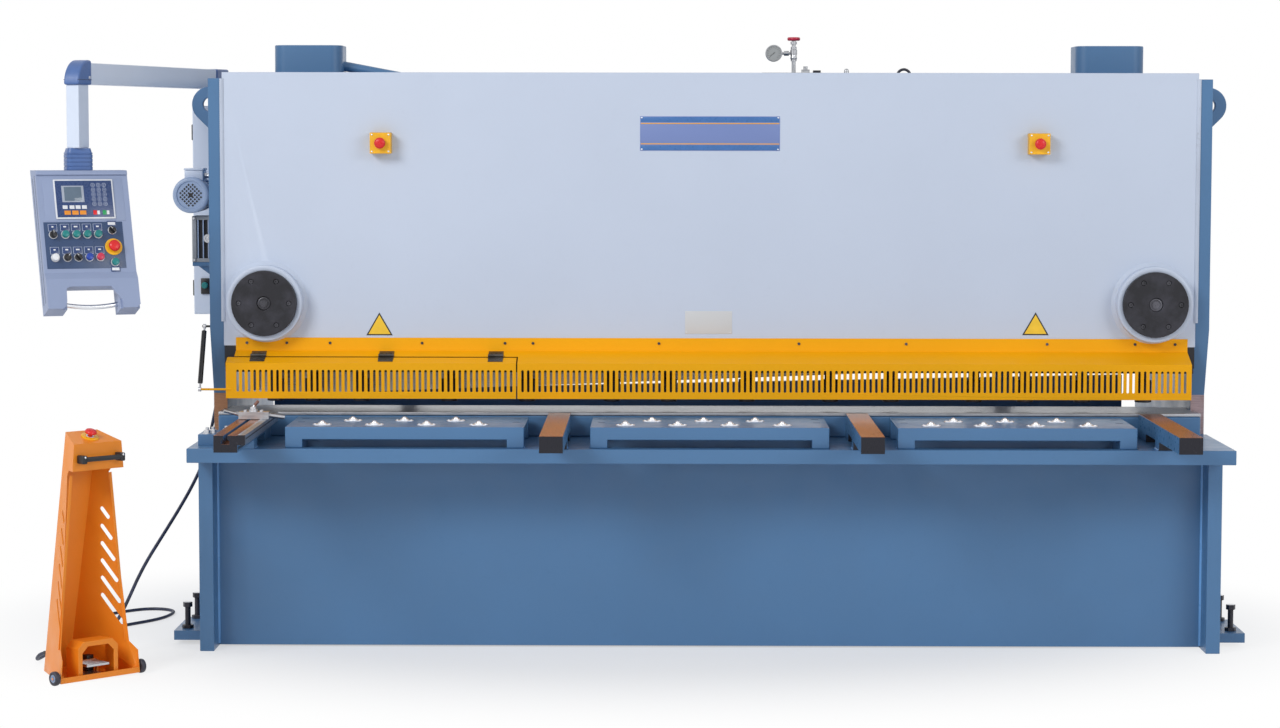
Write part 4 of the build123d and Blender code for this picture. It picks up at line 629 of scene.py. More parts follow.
class ShearStudioSet(bpy.types.Operator):
    """Sets the camera, the lamps, the room light and the floor"""

    bl_idname = "shear.studio"
    bl_label = "Studio"
    lamp_size = (4.5, 3.5)
    lamp_aim = (0, -0.6, 0.9)
    key_place = (-6.5, -8.5, 6.5)
    fill_place = (7.0, -8.0, 5.0)
    camera_place = (-0.162, -11.389, 1.819)
    camera_yaw = 0.008
    camera_roll = 0.0014
    sensor = 36.0
    far_limit = 200.0
    floor_size = 60.0
    room_colour = (0.93, 0.96, 1.0, 1.0)
    white = (1, 1, 1, 1)

    def execute(self, context):
        studio = context.scene.shear_studio
        context.scene.view_settings.view_transform = "Standard"
        self.camera(context, studio)
        self.room(context, studio)
        self.floor()
        self.lamp("key_lamp", studio.key, self.key_place)
        self.lamp("fill_lamp", studio.fill, self.fill_place)
        return {"FINISHED"}

    def lamp(self, name, power, place):
        """Hangs a large soft lamp at a place in metres, aimed at the machine."""
        lamp = bpy.data.lights.new(name, "AREA")
        lamp.shape = "RECTANGLE"
        lamp.size, lamp.size_y = self.lamp_size
        lamp.energy = power
        aim = Vector(self.lamp_aim) - Vector(place)
        turn = aim.to_track_quat("-Z", "Y").to_matrix().to_4x4()
        linked(name, lamp).matrix_world = Matrix.Translation(place) @ turn

    def camera(self, context, studio):
        lens = bpy.data.cameras.new("photo_camera")
        lens.lens = studio.lens
        lens.sensor_width = self.sensor
        lens.sensor_fit = "HORIZONTAL"
        lens.clip_end = self.far_limit
        holder = linked("photo_camera", lens)
        turn = (Matrix.Rotation(self.camera_yaw, 4, "Z")
                @ Matrix.Rotation(math.pi / 2 - studio.pitch, 4, "X")
                @ Matrix.Rotation(self.camera_roll, 4, "Z"))
        holder.matrix_world = Matrix.Translation(self.camera_place) @ turn
        context.scene.camera = holder

    def seen_straight(self, tree):
        """One for the rays of the camera and of reflections, and nought for all others."""
        rays = add(tree, "LightPath").outputs
        return reckon(tree, "MAXIMUM", rays["Is Camera Ray"], rays["Is Glossy Ray"])

    def room(self, context, studio):
        """Lights the machine evenly from all round, in front of pure white."""
        world = bpy.data.worlds.new("room")
        context.scene.world = world
        world.use_nodes = True
        tree = world.node_tree
        seen = add(tree, "Background", Color=self.white, Strength=1.0)
        lit = tree.nodes["Background"]
        feed(tree, lit, Color=self.room_colour, Strength=studio.daylight)
        mixed = blended(tree, self.seen_straight(tree), lit.outputs[0], seen.outputs[0])
        feed(tree, tree.nodes["World Output"], Surface=mixed)

    def floor(self):
        made = bmesh.new()
        bmesh.ops.create_grid(made, x_segments=2, y_segments=2, size=self.floor_size)
        floor = shown(made, "studio_floor")
        material, tree, shader, place = blank("pale_floor", 0.6)
        tone = shade(tree, noise(tree, place, 0.4), (0.93, 0.93, 0.94, 1.0), (0.96, 0.96, 0.97, 1.0))
        feed(tree, shader, Base_Color=tone)
        self.backdrop(tree, shader, place)
        floor.data.materials.append(material)

    def backdrop(self, tree, shader, place):
        """Turns the floor white away from the machine, for the camera and for reflections."""
        centred = add(tree, "Mapping", Vector=place, Location=(0.08, 0.14, 0.0), Scale=(0.36, 0.50, 1.0))
        distance = add(tree, "VectorMath", {"operation": "LENGTH"}, Vector=centred.outputs["Vector"])
        away = add(tree, "MapRange", {"interpolation_type": "SMOOTHSTEP"}, Value=distance.outputs["Value"],
                   From_Min=0.45, From_Max=1.05, To_Min=0.45, To_Max=1.0)
        share = reckon(tree, "MULTIPLY", away.outputs["Result"], self.seen_straight(tree))
        white = add(tree, "Emission", Color=self.white, Strength=1.0)
        mixed = blended(tree, share, shader.outputs[0], white.outputs[0])
        feed(tree, tree.nodes["Material Output"], Surface=mixed)


class ShearFrame(bpy.types.Operator):
    """Paints the plates and beams, breaks their edges and lays the weld beads"""

    bl_idname = "shear.frame"
    bl_label = "Frame and plates"
    plates = {
        "left_side_frame": 2.0, "right_side_frame": 2.0, "table_plate": 2.5, "base_front_plate": 1.5,
        "bed_beam": 5.0, "bed_plate": 3.0, "sheet_pads": 3.0, "foot_plates": 2.5, "front_panel": 2.0,
        "cylinder_covers": 3.0, "cross_members": 2.0, "oil_tank": 4.0, "hold_down_beam": 2.0,
        "ram_beam": 2.0, "backgauge_bar": 1.5, "hold_down_plungers": 1.5, "upper_blade": 0.6,
        "lower_blade": 0.6, "panel_end_blocks": 2.0, "chute": 0.8, "cylinders": 2.0,
    }
    # The hold-down beam and plungers are made dark: painted shade, as they lie in shadow behind the guard.
    shaded_behind_guard = {"hold_down_beam": "cast_black", "hold_down_plungers": "dark_steel"}
    nut_tops = 140
    base_face = -788
    foot_top = 50
    feet = (-760, -450)
    foot_length = 305
    arm_middles = (-1616, -536, 531, 1583)
    arm_weld = (-1094, -1016)
    pad_middles = (-1060, -3, 1061)
    pad_weld = (-1058, -1012)
    bead_round = 70
    throat_depth = (-520.5, -519.8)
    throat_height = (741, 884)

    def execute(self, context):
        for node, item in NODES.items():
            item.data.materials.clear()
            item.data.materials.append(FINISH[SLOT_OF[node]])
        for node, bevel in self.plates.items():
            softened(node, bevel, self.shaded_behind_guard.get(node))
        screws = softened("levelling_screws", 1.4)
        # The heads' upward faces get zinc: a painted highlight where the light falls on their tops.
        repaint(screws, "zinc", lambda middle, normal: normal.z > 0.9 and middle.z > self.nut_tops)
        self.welds()
        self.throat()
        return {"FINISHED"}

    def welds(self):
        blue = bmesh.new()
        white = bmesh.new()
        for side in (-1, 1):
            inner = side * FRAME_INSIDE
            outer = side * FRAME_OUTSIDE
            bead(blue, (inner, self.base_face, 10), (inner, self.base_face, 686), (-side, -1, 0), 20)
            bead(white, (inner, PANEL_FRONT, 1150), (inner, PANEL_FRONT, 2022), (-side * 0.3, -1, 0), 17)
            for y in self.feet:
                bead(blue, (outer, y, self.foot_top), (outer, y + self.foot_length, self.foot_top),
                     (side, 0, 1))
        for x in self.arm_middles:
            self.pair(blue, x, 40, self.arm_weld, 10)
        for x in self.pad_middles:
            self.pair(blue, x, 414, self.pad_weld, 9)
        # The blue beads take the lighter finish: painted highlight on the welds.
        settle(blue, "frame_welds", "machine", "frame_blue", "highlit_blue_weld", self.bead_round)
        settle(white, "panel_welds", "machine", "panel_white", "white_weld", self.bead_round)

    def pair(self, made, middle, reach, ends, width):
        """Adds the beads on both sides of a piece that stands on the table."""
        for side in (-1, 1):
            x = middle + side * reach
            bead(made, (x, ends[0], TABLE_TOP), (x, ends[1], TABLE_TOP), (side, 0, 1), width)

    def throat(self):
        (front, back), (low, high) = self.throat_depth, self.throat_height
        for side, name, finish in ((-1, "left", "throat_brown"), (1, "right", "throat_grey")):
            made = bmesh.new()
            x0, x1 = sorted((side * (FRAME_INSIDE + 0.6), side * (FRAME_OUTSIDE - 0.6)))
            slab(made, (x0, front, low), (x1, back, high))
            settle(made, "throat_face_" + name, "machine", "frame_blue", finish)


class ShearPlates(bpy.types.Operator):
    """Fixes the bare name plate, the bare notice plate and the two bare triangles to the panel"""

    bl_idname = "shear.plates"
    bl_label = "Bare plates"
    name_x = (-249, 252)
    band_x = (-247, 250)
    blue_bands = {"head": (1868, 1887), "foot": (1768, 1786)}
    lines = {"high": (1862, 1865), "low": (1789, 1792)}
    band_lift = 1.9
    pin_places = (((-243, 246), (1771, 1884), 3.0), ((-80, 77), (1113, 1185), 2.4))
    triangles = (("left", -1188, 1128), ("right", 1175, 1133))
    layers = (("border", 55, 0.8, "cast_black", "black_plastic"),
              ("face", 46, 1.2, "guard_yellow", "sign_yellow"))

    def plate(self, name, x, z, lift, slot, finish, edge=0.3):
        """A flat plate between two X and two Z values, up to a lift from the panel."""
        made = bmesh.new()
        slab(made, (x[0], PANEL_FRONT - lift, z[0]), (x[1], PANEL_FRONT, z[1]), bevel=edge)
        settle(made, name, "machine", slot, finish)

    def execute(self, context):
        self.plate("name_plate", self.name_x, (1766, 1889), 1.5, "panel_white", "plate_pale")
        for name, z in self.blue_bands.items():
            self.plate("name_plate_" + name, self.band_x, z, self.band_lift, "frame_blue", "plate_blue", 0.1)
        for name, z in self.lines.items():
            self.plate("name_plate_line_" + name, self.band_x, z, self.band_lift, "guard_yellow", None, 0.1)
        self.plate("notice_plate", (-86, 83), (1108, 1190), 1.2, "panel_white", "notice_film")
        pins = bmesh.new()
        for xs, zs, radius in self.pin_places:
            for x in xs:
                for z in zs:
                    pan_screw(pins, forward(x, PANEL_FRONT - 1.2, z), radius)
        settle(pins, "plate_pins", "machine", "chrome", "zinc")
        for name, x, z in self.triangles:
            point_up = forward(x, PANEL_FRONT, z) @ Matrix.Rotation(math.pi / 2, 4, "Z")
            for part, radius, lift, slot, finish in self.layers:
                made = bmesh.new()
                turned(made, disc(radius, lift), point_up, 3)
                settle(made, f"triangle_{name}_{part}", "machine", slot, finish)
        return {"FINISHED"}


class ShearCovers(bpy.types.Operator):
    """Dresses the round guide housings: cap screws in their wells, plugs and rings"""

    bl_idname = "shear.covers"
    bl_label = "Guide covers"
    middles = (-1595, 1595)
    height = 1219
    cover_front = -670
    lip_front = -660
    bolt_circle = 90
    bolts = 6
    hub = [(0, 0), (24.6, 0), (24.6, 4), (22, 6), (18, 6.5), (16, 4.5), (14, 4.5), (13, 6.5), (0, 7)]
    weld = [(134, 0), (149, 0), (144, 3.5), (139, 9), (134, 12), (134, 0)]
    lip = [(117.4, 0), (134, 0), (134, 1.4), (132.5, 2.2), (119, 2.2), (117.4, 1.4), (117.4, 0)]

    def execute(self, context):
        softened("guide_covers", 2)
        screws = bmesh.new()
        rings = bmesh.new()
        for x in self.middles:
            for n in range(self.bolts):
                turn = FULL_TURN * n / self.bolts
                spot = forward(x + self.bolt_circle * math.cos(turn), self.cover_front,
                               self.height + self.bolt_circle * math.sin(turn))
                socket_screw(screws, spot, 8, 8)
            turned(screws, self.hub, forward(x, self.cover_front, self.height), 40)
            turned(rings, self.weld, forward(x, PANEL_FRONT, self.height), 72)
            turned(rings, self.lip, forward(x, self.lip_front, self.height), 72)
        settle(screws, "cover_screws", "machine", "dark_steel", "cap_screws")
        settle(rings, "housing_rings", "machine", "panel_white", sharp=60)
        return {"FINISHED"}


class ShearStops(bpy.types.Operator):
    """Shapes the four emergency stops, their collars and the two yellow boxes"""

    bl_idname = "shear.stops"
    bl_label = "Emergency stops"
    across = 1177.05
    height = 1792
    box_front = -655
    seam = (-637.2, -636.2)
    seam_reach = 37.8
    screw_reach = 30
    hood_slope = (36, 100)
    mushroom = [(0, -7), (7.6, -7), (7.6, 12), (13, 13), (18.6, 14.2), (20, 16.5), (19.7, 20.5), (17, 24.4),
                (12, 26.6), (6, 27.2), (0, 27.4)]
    collar = [(8.6, 0), (14, 0), (14, 3.6), (12.5, 5), (8.6, 5), (8.6, 0)]
    ring = [(8.6, 0), (30, 0), (30, 3.6), (28.6, 5), (15, 5), (8.6, 5), (8.6, 0)]

    def execute(self, context):
        rise, run = self.hood_slope
        places = {
            "estop_button_left": forward(-self.across, self.box_front, self.height),
            "estop_button_right": forward(self.across, self.box_front, self.height),
            "pendant_estop": panel_face(ShearPendant.side, ShearPendant.stop_down),
            "stand_estop": stand_place(0, 45, 798 + 45 * rise / run, math.atan2(rise, run)),
        }
        for node, place in places.items():
            made = bmesh.new()
            turned(made, self.mushroom, place, 40)
            piece = settle(made, node + "_cap", BODY_OF[node], "button_red", sharp=50)
            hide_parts(node)
        collars = bmesh.new()
        for node in ("estop_button_left", "estop_button_right", "stand_estop"):
            turned(collars, self.collar, places[node])
        settle(collars, "stop_collars", "machine", "chrome", "zinc")
        made = bmesh.new()
        turned(made, [(radius, height * 0.6) for radius, height in self.ring], places["stand_estop"], 40)
        settle(made, "stand_stop_ring", "machine", "box_yellow")
        self.boxes()
        return {"FINISHED"}

    def boxes(self):
        softened("estop_boxes", 4, segments=3)
        seams = bmesh.new()
        screws = bmesh.new()
        (front, back), reach = self.seam, self.seam_reach
        for x in (-self.across, self.across):
            slab(seams, (x - reach, front, self.height - reach), (x + reach, back, self.height + reach))
            for dx in (-self.screw_reach, self.screw_reach):
                for dz in (-self.screw_reach, self.screw_reach):
                    pan_screw(screws, forward(x + dx, self.box_front, self.height + dz), 3.4)
        settle(seams, "stop_box_seams", "machine", "black_plastic")
        settle(screws, "stop_box_screws", "machine", "chrome", "zinc")


class ShearGuard(bpy.types.Operator):
    """Fixes the guard's flange with its cap screws and screws down the hinge leaves"""

    bl_idname = "shear.guard"
    bl_label = "Guard screws"
    places = (-1666, -1522, -1366, -1034, -735, -634, -180, 324, 710, 1217, 1533, 1677)
    flange_front = -604
    screw_line = 1073
    hinges = (-1620, -1160, -766)
    hinge_line = (-649.5, 1027)
    band_fall = (38, 96)
    leaf_half = 26.5
    leaf_reach = (5, 42)
    leaf_lift = (0.3, 2.3)

    def execute(self, context):
        radius = context.scene.shear_sizes.guard_screw / MM / 2
        made = bmesh.new()
        for x in self.places:
            socket_screw(made, forward(x, self.flange_front, self.screw_line), radius, radius * 0.7)
        settle(made, "guard_screws", "machine", "dark_steel", "cap_screws")
        for node in ("guard_hinges", "door_hinge_leaves"):
            softened(node, 0.5, "hinge_steel", segments=1)
        for body, side in (("machine", 1), ("guard_section", -1)):
            self.leaves(body, side)
        return {"FINISHED"}

    def leaves(self, body, side):
        """The hinges' leaves on the guard's sloping band, above or below their line."""
        made = bmesh.new()
        out, fall = self.band_fall
        under, over = self.leaf_lift
        low, high = sorted(side * reach for reach in self.leaf_reach)
        for x in self.hinges:
            place = facing(at(x, *self.hinge_line), (0, -out, fall), (0, fall, out))
            slab(made, (-self.leaf_half, low, under), (self.leaf_half, high, over), place, 0.5)
            for across in (-17, 0, 17):
                pan_screw(made, place @ moved(across, side * 25, over), 3.2)
        settle(made, "hinge_leaves_" + body, body, "dark_steel", "hinge_steel")


class ShearTable(bpy.types.Operator):
    """Fits out the table: ball units, arms, squaring arm with its flip stop and set screws"""

    bl_idname = "shear.table"
    bl_label = "Table fittings"
    pads = (-1059.98, -2.98, 1061.03)
    pad_top = 813
    ball_step = 182
    ball_rows = ((4, -20, -985), (3, 72, -835))
    cup = [(10.4, 3), (15, 3), (15, 6.4), (13.6, 8), (11.2, 8), (10.4, 6.5), (10.4, 3)]
    arm_front = -1490
    arm_back = -655
    set_screws = ((-1672, -840), (-1700, -900), (-1742, -930), (-1760, -950))
    set_screw_foot = 777.5
    washer = [(0, 0), (17, 0), (17, 2), (15, 2.6), (0, 2.6)]
    screw_end = [(0, 13), (6, 13), (6, 21), (4.5, 23), (0, 23)]
    stop_top = 854.3
    stop_screws = ((-1628, -942), (-1628, -918), (-1572, -942), (-1572, -918))
    stop_hub = [(0, 0), (15, 0), (15, 7), (11, 9), (11, 14), (8, 17), (0, 17)]
    lever_grip = [(0, 9), (4.6, 9), (5.6, 12), (5.6, 28), (4.4, 30.5), (0, 31)]

    def execute(self, context):
        self.balls()
        self.pad_slots()
        softened("support_arms", 1.6, "arm_steel")
        self.squaring_arm()
        self.flip_stop()
        return {"FINISHED"}

    def balls(self):
        flanges = bmesh.new()
        balls = bmesh.new()
        for pad in self.pads:
            for count, shift, y in self.ball_rows:
                for n in range(count):
                    x = pad + (n - 1.5) * self.ball_step + shift
                    self.ball_unit(flanges, balls, x, y)
        piece = settle(flanges, "ball_unit_flanges", "machine", "chrome", "bright_plate")
        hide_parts("ball_units")
        settle(balls, "transfer_balls", "machine", "chrome", "ball_steel")

    def ball_unit(self, flanges, balls, x, y):
        place = moved(x, y, self.pad_top)
        obround(flanges, place, 66, 38, 3)
        turned(flanges, self.cup, place, 24)
        for end in (-25, 25):
            pan_screw(flanges, moved(x + end, y, self.pad_top + 3), 3.6)
        bmesh.ops.create_icosphere(balls, subdivisions=3, radius=10 * MM,
                                   matrix=moved(x, y, self.pad_top + 6))

    def pad_slots(self):
        made = bmesh.new()
        for x in self.pads:
            for end in (-378, 378):
                for y in (-752, -876):
                    obround(made, moved(x + end, y, self.pad_top - 0.1), 26, 9, 0.6, 0.2)
        settle(made, "pad_slots", "machine", "frame_blue", "shadow_blue")

    def squaring_arm(self):
        arm = softened("squaring_arm", 1.4, "arm_steel")
        repaint(arm, "bright_steel", lambda middle, normal: middle.x > -1575.5 and normal.y > -0.6)
        repaint(arm, "frame_blue", lambda middle, normal: middle.x < -1657 or middle.z < 768)
        # Dark strips laid in the rail's grooves: painted shade inside them.
        dark = bmesh.new()
        slab(dark, (-1550.2, self.arm_front, 812), (-1549.4, self.arm_back, 817))
        slab(dark, (-1576.2, self.arm_front, 777), (-1575.2, self.arm_back - 45, 786))
        settle(dark, "rail_groove_shade", "machine", "black_plastic")
        light = bmesh.new()
        slab(light, (-1574, self.arm_front - 6, 827.6), (-1566, self.arm_back, 828.4), bevel=0.3)
        settle(light, "rail_scale", "machine", "bright_steel", "zinc")
        bolts = bmesh.new()
        for x, y in self.set_screws:
            place = moved(x, y, self.set_screw_foot)
            turned(bolts, self.washer, place, 24)
            hexagon_head(bolts, place @ moved(0, 0, 2.6), 12, 11)
            turned(bolts, self.screw_end, place, 16)
        settle(bolts, "squaring_arm_bolts", "machine", "chrome", "zinc")

    def flip_stop(self):
        stop = softened("flip_stop", 1.6)
        repaint(stop, "lever_steel", lambda middle, normal: middle.x < -1651 and middle.z > 852)
        made = bmesh.new()
        for x, y in self.stop_screws:
            socket_screw(made, moved(x, y, self.stop_top), 5, 5)
        turned(made, self.stop_hub, moved(-1600, -930, self.stop_top), 28)
        lever = facing(at(-1602, -930, 868), (22, 5, 27), (0, 1, 0))
        turned(made, disc(3.6, 12, -4), lever, 16)
        settle(made, "flip_stop_hub", "flip_stop", "chrome", "zinc")
        grip = bmesh.new()
        turned(grip, self.lever_grip, lever, 20)
        settle(grip, "flip_stop_grip", "flip_stop", "black_plastic", "grip_brown")


class ShearTop(bpy.types.Operator):
    """Finishes the fittings on the deck: pressure dial, valve with its wheel, caps and eye"""

    bl_idname = "shear.top"
    bl_label = "Top fittings"
    dial = (243, -213, 2125)
    valve = (317, -200)
    bezel = [(0, 0), (31, 0), (31, 4), (29.5, 5.5), (27, 5.5), (26, 3), (0, 3)]
    wheel = [(0, 2), (5, 2), (6, 4), (17, 4), (18, 1), (21, -0.2), (23.4, 2), (24, 6), (23.4, 10), (21, 12),
             (18, 11), (17, 8), (8, 8), (6, 12), (0, 12)]
    body = [(0, 0), (11.6, 0), (12.6, 1.5), (12.6, 7), (11.6, 8.5), (11.6, 18), (13, 19), (13, 34),
            (11.6, 35.5), (0, 35.5)]
    mark_angles = [135 - n * 22.5 for n in range(13)]
    needle_angle = 128

    def execute(self, context):
        fittings = softened("gauge_fittings", 1.2, "fitting_steel")
        repaint(fittings, "dark_steel", self.is_dark)
        dial = forward(*self.dial)
        made = bmesh.new()
        turned(made, self.bezel, dial, 48)
        turned(made, self.body, moved(*self.valve, 2103))
        settle(made, "dial_bezel", "machine", "bright_steel", "fitting_steel")
        face = bmesh.new()
        turned(face, disc(25.8, 3.4, 3), dial, 40)
        settle(face, "dial_face", "machine", "panel_white", "dial_film")
        marks = bmesh.new()
        for angle in self.mark_angles:
            turn = Matrix.Rotation(math.radians(angle), 4, "Z")
            slab(marks, (-0.5, 19, 3.3), (0.5, 23.5, 3.7), dial @ turn)
        needle = dial @ Matrix.Rotation(math.radians(self.needle_angle), 4, "Z")
        slab(marks, (-0.8, -5, 3.6), (0.8, 18, 4.2), needle)
        settle(marks, "dial_marks", "machine", "black_plastic")
        wheel = bmesh.new()
        turned(wheel, self.wheel, moved(*self.valve, 2172), 40)
        piece = settle(wheel, "valve_handwheel_rim", "valve_wheel", "button_red", "wheel_red", 50)
        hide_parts("valve_handwheel")
        return {"FINISHED"}

    @staticmethod
    def is_dark(middle, normal):
        """The black base of the valve, the black caps' feet and the eye."""
        low = middle.z < 2054 or (middle.x > 385 and middle.z < 2066)
        return (middle.x < 450 and low) or middle.x > 600


class ShearDrive(bpy.types.Operator):
    """Shapes the fan motor with its perforated cowl, the finned unit, and the cabinet's door"""

    bl_idname = "shear.drive"
    bl_label = "Side equipment"
    motor_axis = (-1897, -400, 1600)
    fins = 32
    cowl = [(0, -92), (63.5, -92), (65, -90), (65, -12), (66, -9), (66, -5), (62, -1), (57, 0), (52, 0),
            (49, -4), (0, -4)]
    barrel = [(0, -250), (40, -250), (58, -246), (61, -240), (61, -232), (56, -230), (56, -90), (0, -90)]
    hole_pitch = 15.0
    holes_within = (9, 40)
    gland_end = [(0, 9), (9, 9), (10, 14), (10, 20), (6.5, 26), (0, 26)]
    boss = [(0, 0), (17, 0), (17, 5), (15, 7), (10, 7), (9, 4.5), (5, 4.5), (4, 7.5), (0, 7.5)]
    lock = [(0, 0), (13, 0), (13, 3), (11, 5), (0, 5)]
    door_button = (-1906, -9, 1251)
    button_collar = [(0, 0), (16, 0), (16, 8), (13.5, 10), (0, 10)]
    button_cap = [(0, 9), (12, 9), (12.6, 13), (12, 18), (9, 20.5), (0, 21)]

    def execute(self, context):
        self.motor()
        self.cowl_hole_shade()
        self.terminals()
        self.finned_unit()
        self.cabinet()
        return {"FINISHED"}

    def motor(self):
        axis = forward(*self.motor_axis)
        made = bmesh.new()
        turned(made, self.cowl, axis, 56)
        turned(made, self.barrel, axis, 48)
        for n in range(self.fins):
            turn = Matrix.Rotation(FULL_TURN * n / self.fins, 4, "Z")
            slab(made, (54, -1.0, -229), (63, 1.0, -93), axis @ turn)
        slab(made, (-1897, -340, 1570), (-1800.2, -190, 1630), bevel=3)
        # The whole motor body takes the lighter copy of its grey: painted light.
        piece = settle(made, "fan_motor_body", "machine", "motor_grey", "motor_enamel_highlit", 40)
        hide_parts("fan_motor")

    def cowl_hole_shade(self):
        axis = forward(*self.motor_axis)
        nearest, farthest = self.holes_within
        half = self.hole_pitch / 2
        holes = bmesh.new()
        for row in range(-5, 6):
            for column in range(-3, 4):
                x = column * self.hole_pitch + (row % 2) * half
                z = row * half
                if nearest < math.hypot(x, z) < farthest:
                    # The cowl's holes and centre hole are black discs on its face: painted shade of the dark
                    # inside behind them.
                    turned(holes, disc(4.9, 0.4), axis @ moved(x, z, -4.0), 4)
        turned(holes, disc(7.5, -3.6, -4), axis, 20)
        settle(holes, "cowl_hole_shade", "machine", "black_plastic")

    def terminals(self):
        box = bmesh.new()
        slab(box, (-1927, -350, 1650), (-1859, -260, 1690), bevel=4)
        slab(box, (-1929, -352, 1690), (-1857, -258, 1698), bevel=2)
        settle(box, "terminal_box", "machine", "arm_light")
        gland = bmesh.new()
        place = facing(at(-1859, -315, 1670), (1, 0, 0))
        turned(gland, disc(12, 10), place, 6)
        turned(gland, self.gland_end, place, 24)
        settle(gland, "terminal_gland", "machine", "chrome", "zinc")

    def finned_unit(self):
        unit = softened("finned_reducer", 1.0)
        # The finned unit's front faces take the lighter copy of the motor grey: a painted highlight on the
        # faces turned to the front.
        repaint(unit, "motor_enamel_highlit", lambda middle, normal: normal.y < -0.9 and middle.y < -349)
        made = bmesh.new()
        slab(made, (-1900.4, -352, 1353), (-1884, -345, 1522), bevel=2)
        for z in (1353, 1508):
            slab(made, (-1884, -352, z), (-1801, -346, z + 14), bevel=2)
        settle(made, "finned_unit_border", "machine", "motor_grey", "mottled_casting")
        boss = bmesh.new()
        turned(boss, self.boss, forward(-1842, -346, 1440), 28)
        for x in (-1893, -1808):
            for z in (1361, 1514):
                hexagon_head(boss, forward(x, -352, z), 5, 4)
        settle(boss, "finned_unit_boss", "machine", "chrome", "zinc")

    def cabinet(self):
        softened("electrical_cabinet", 3)
        made = bmesh.new()
        slab(made, (-1952, 12, 1160), (-1949.6, 588, 1912), bevel=1.2)
        settle(made, "cabinet_door", "machine", "arm_light")
        small = bmesh.new()
        for z in (1240, 1830):
            slab(small, (-1956, 10, z - 30), (-1949, 24, z + 30), bevel=3)
        turned(small, self.lock, facing(at(-1952, 560, 1530), (-1, 0, 0)), 28)
        x, front, z = self.door_button
        slab(small, (x - 17, front, z - 34), (x + 17, 0, z + 26), bevel=2)
        turned(small, self.button_collar, forward(x, front, z), 28)
        settle(small, "cabinet_hardware", "machine", "cast_black", "black_plastic")
        button = bmesh.new()
        turned(button, self.button_cap, forward(x, front, z), 28)
        settle(button, "cabinet_button", "machine", "control_mix")


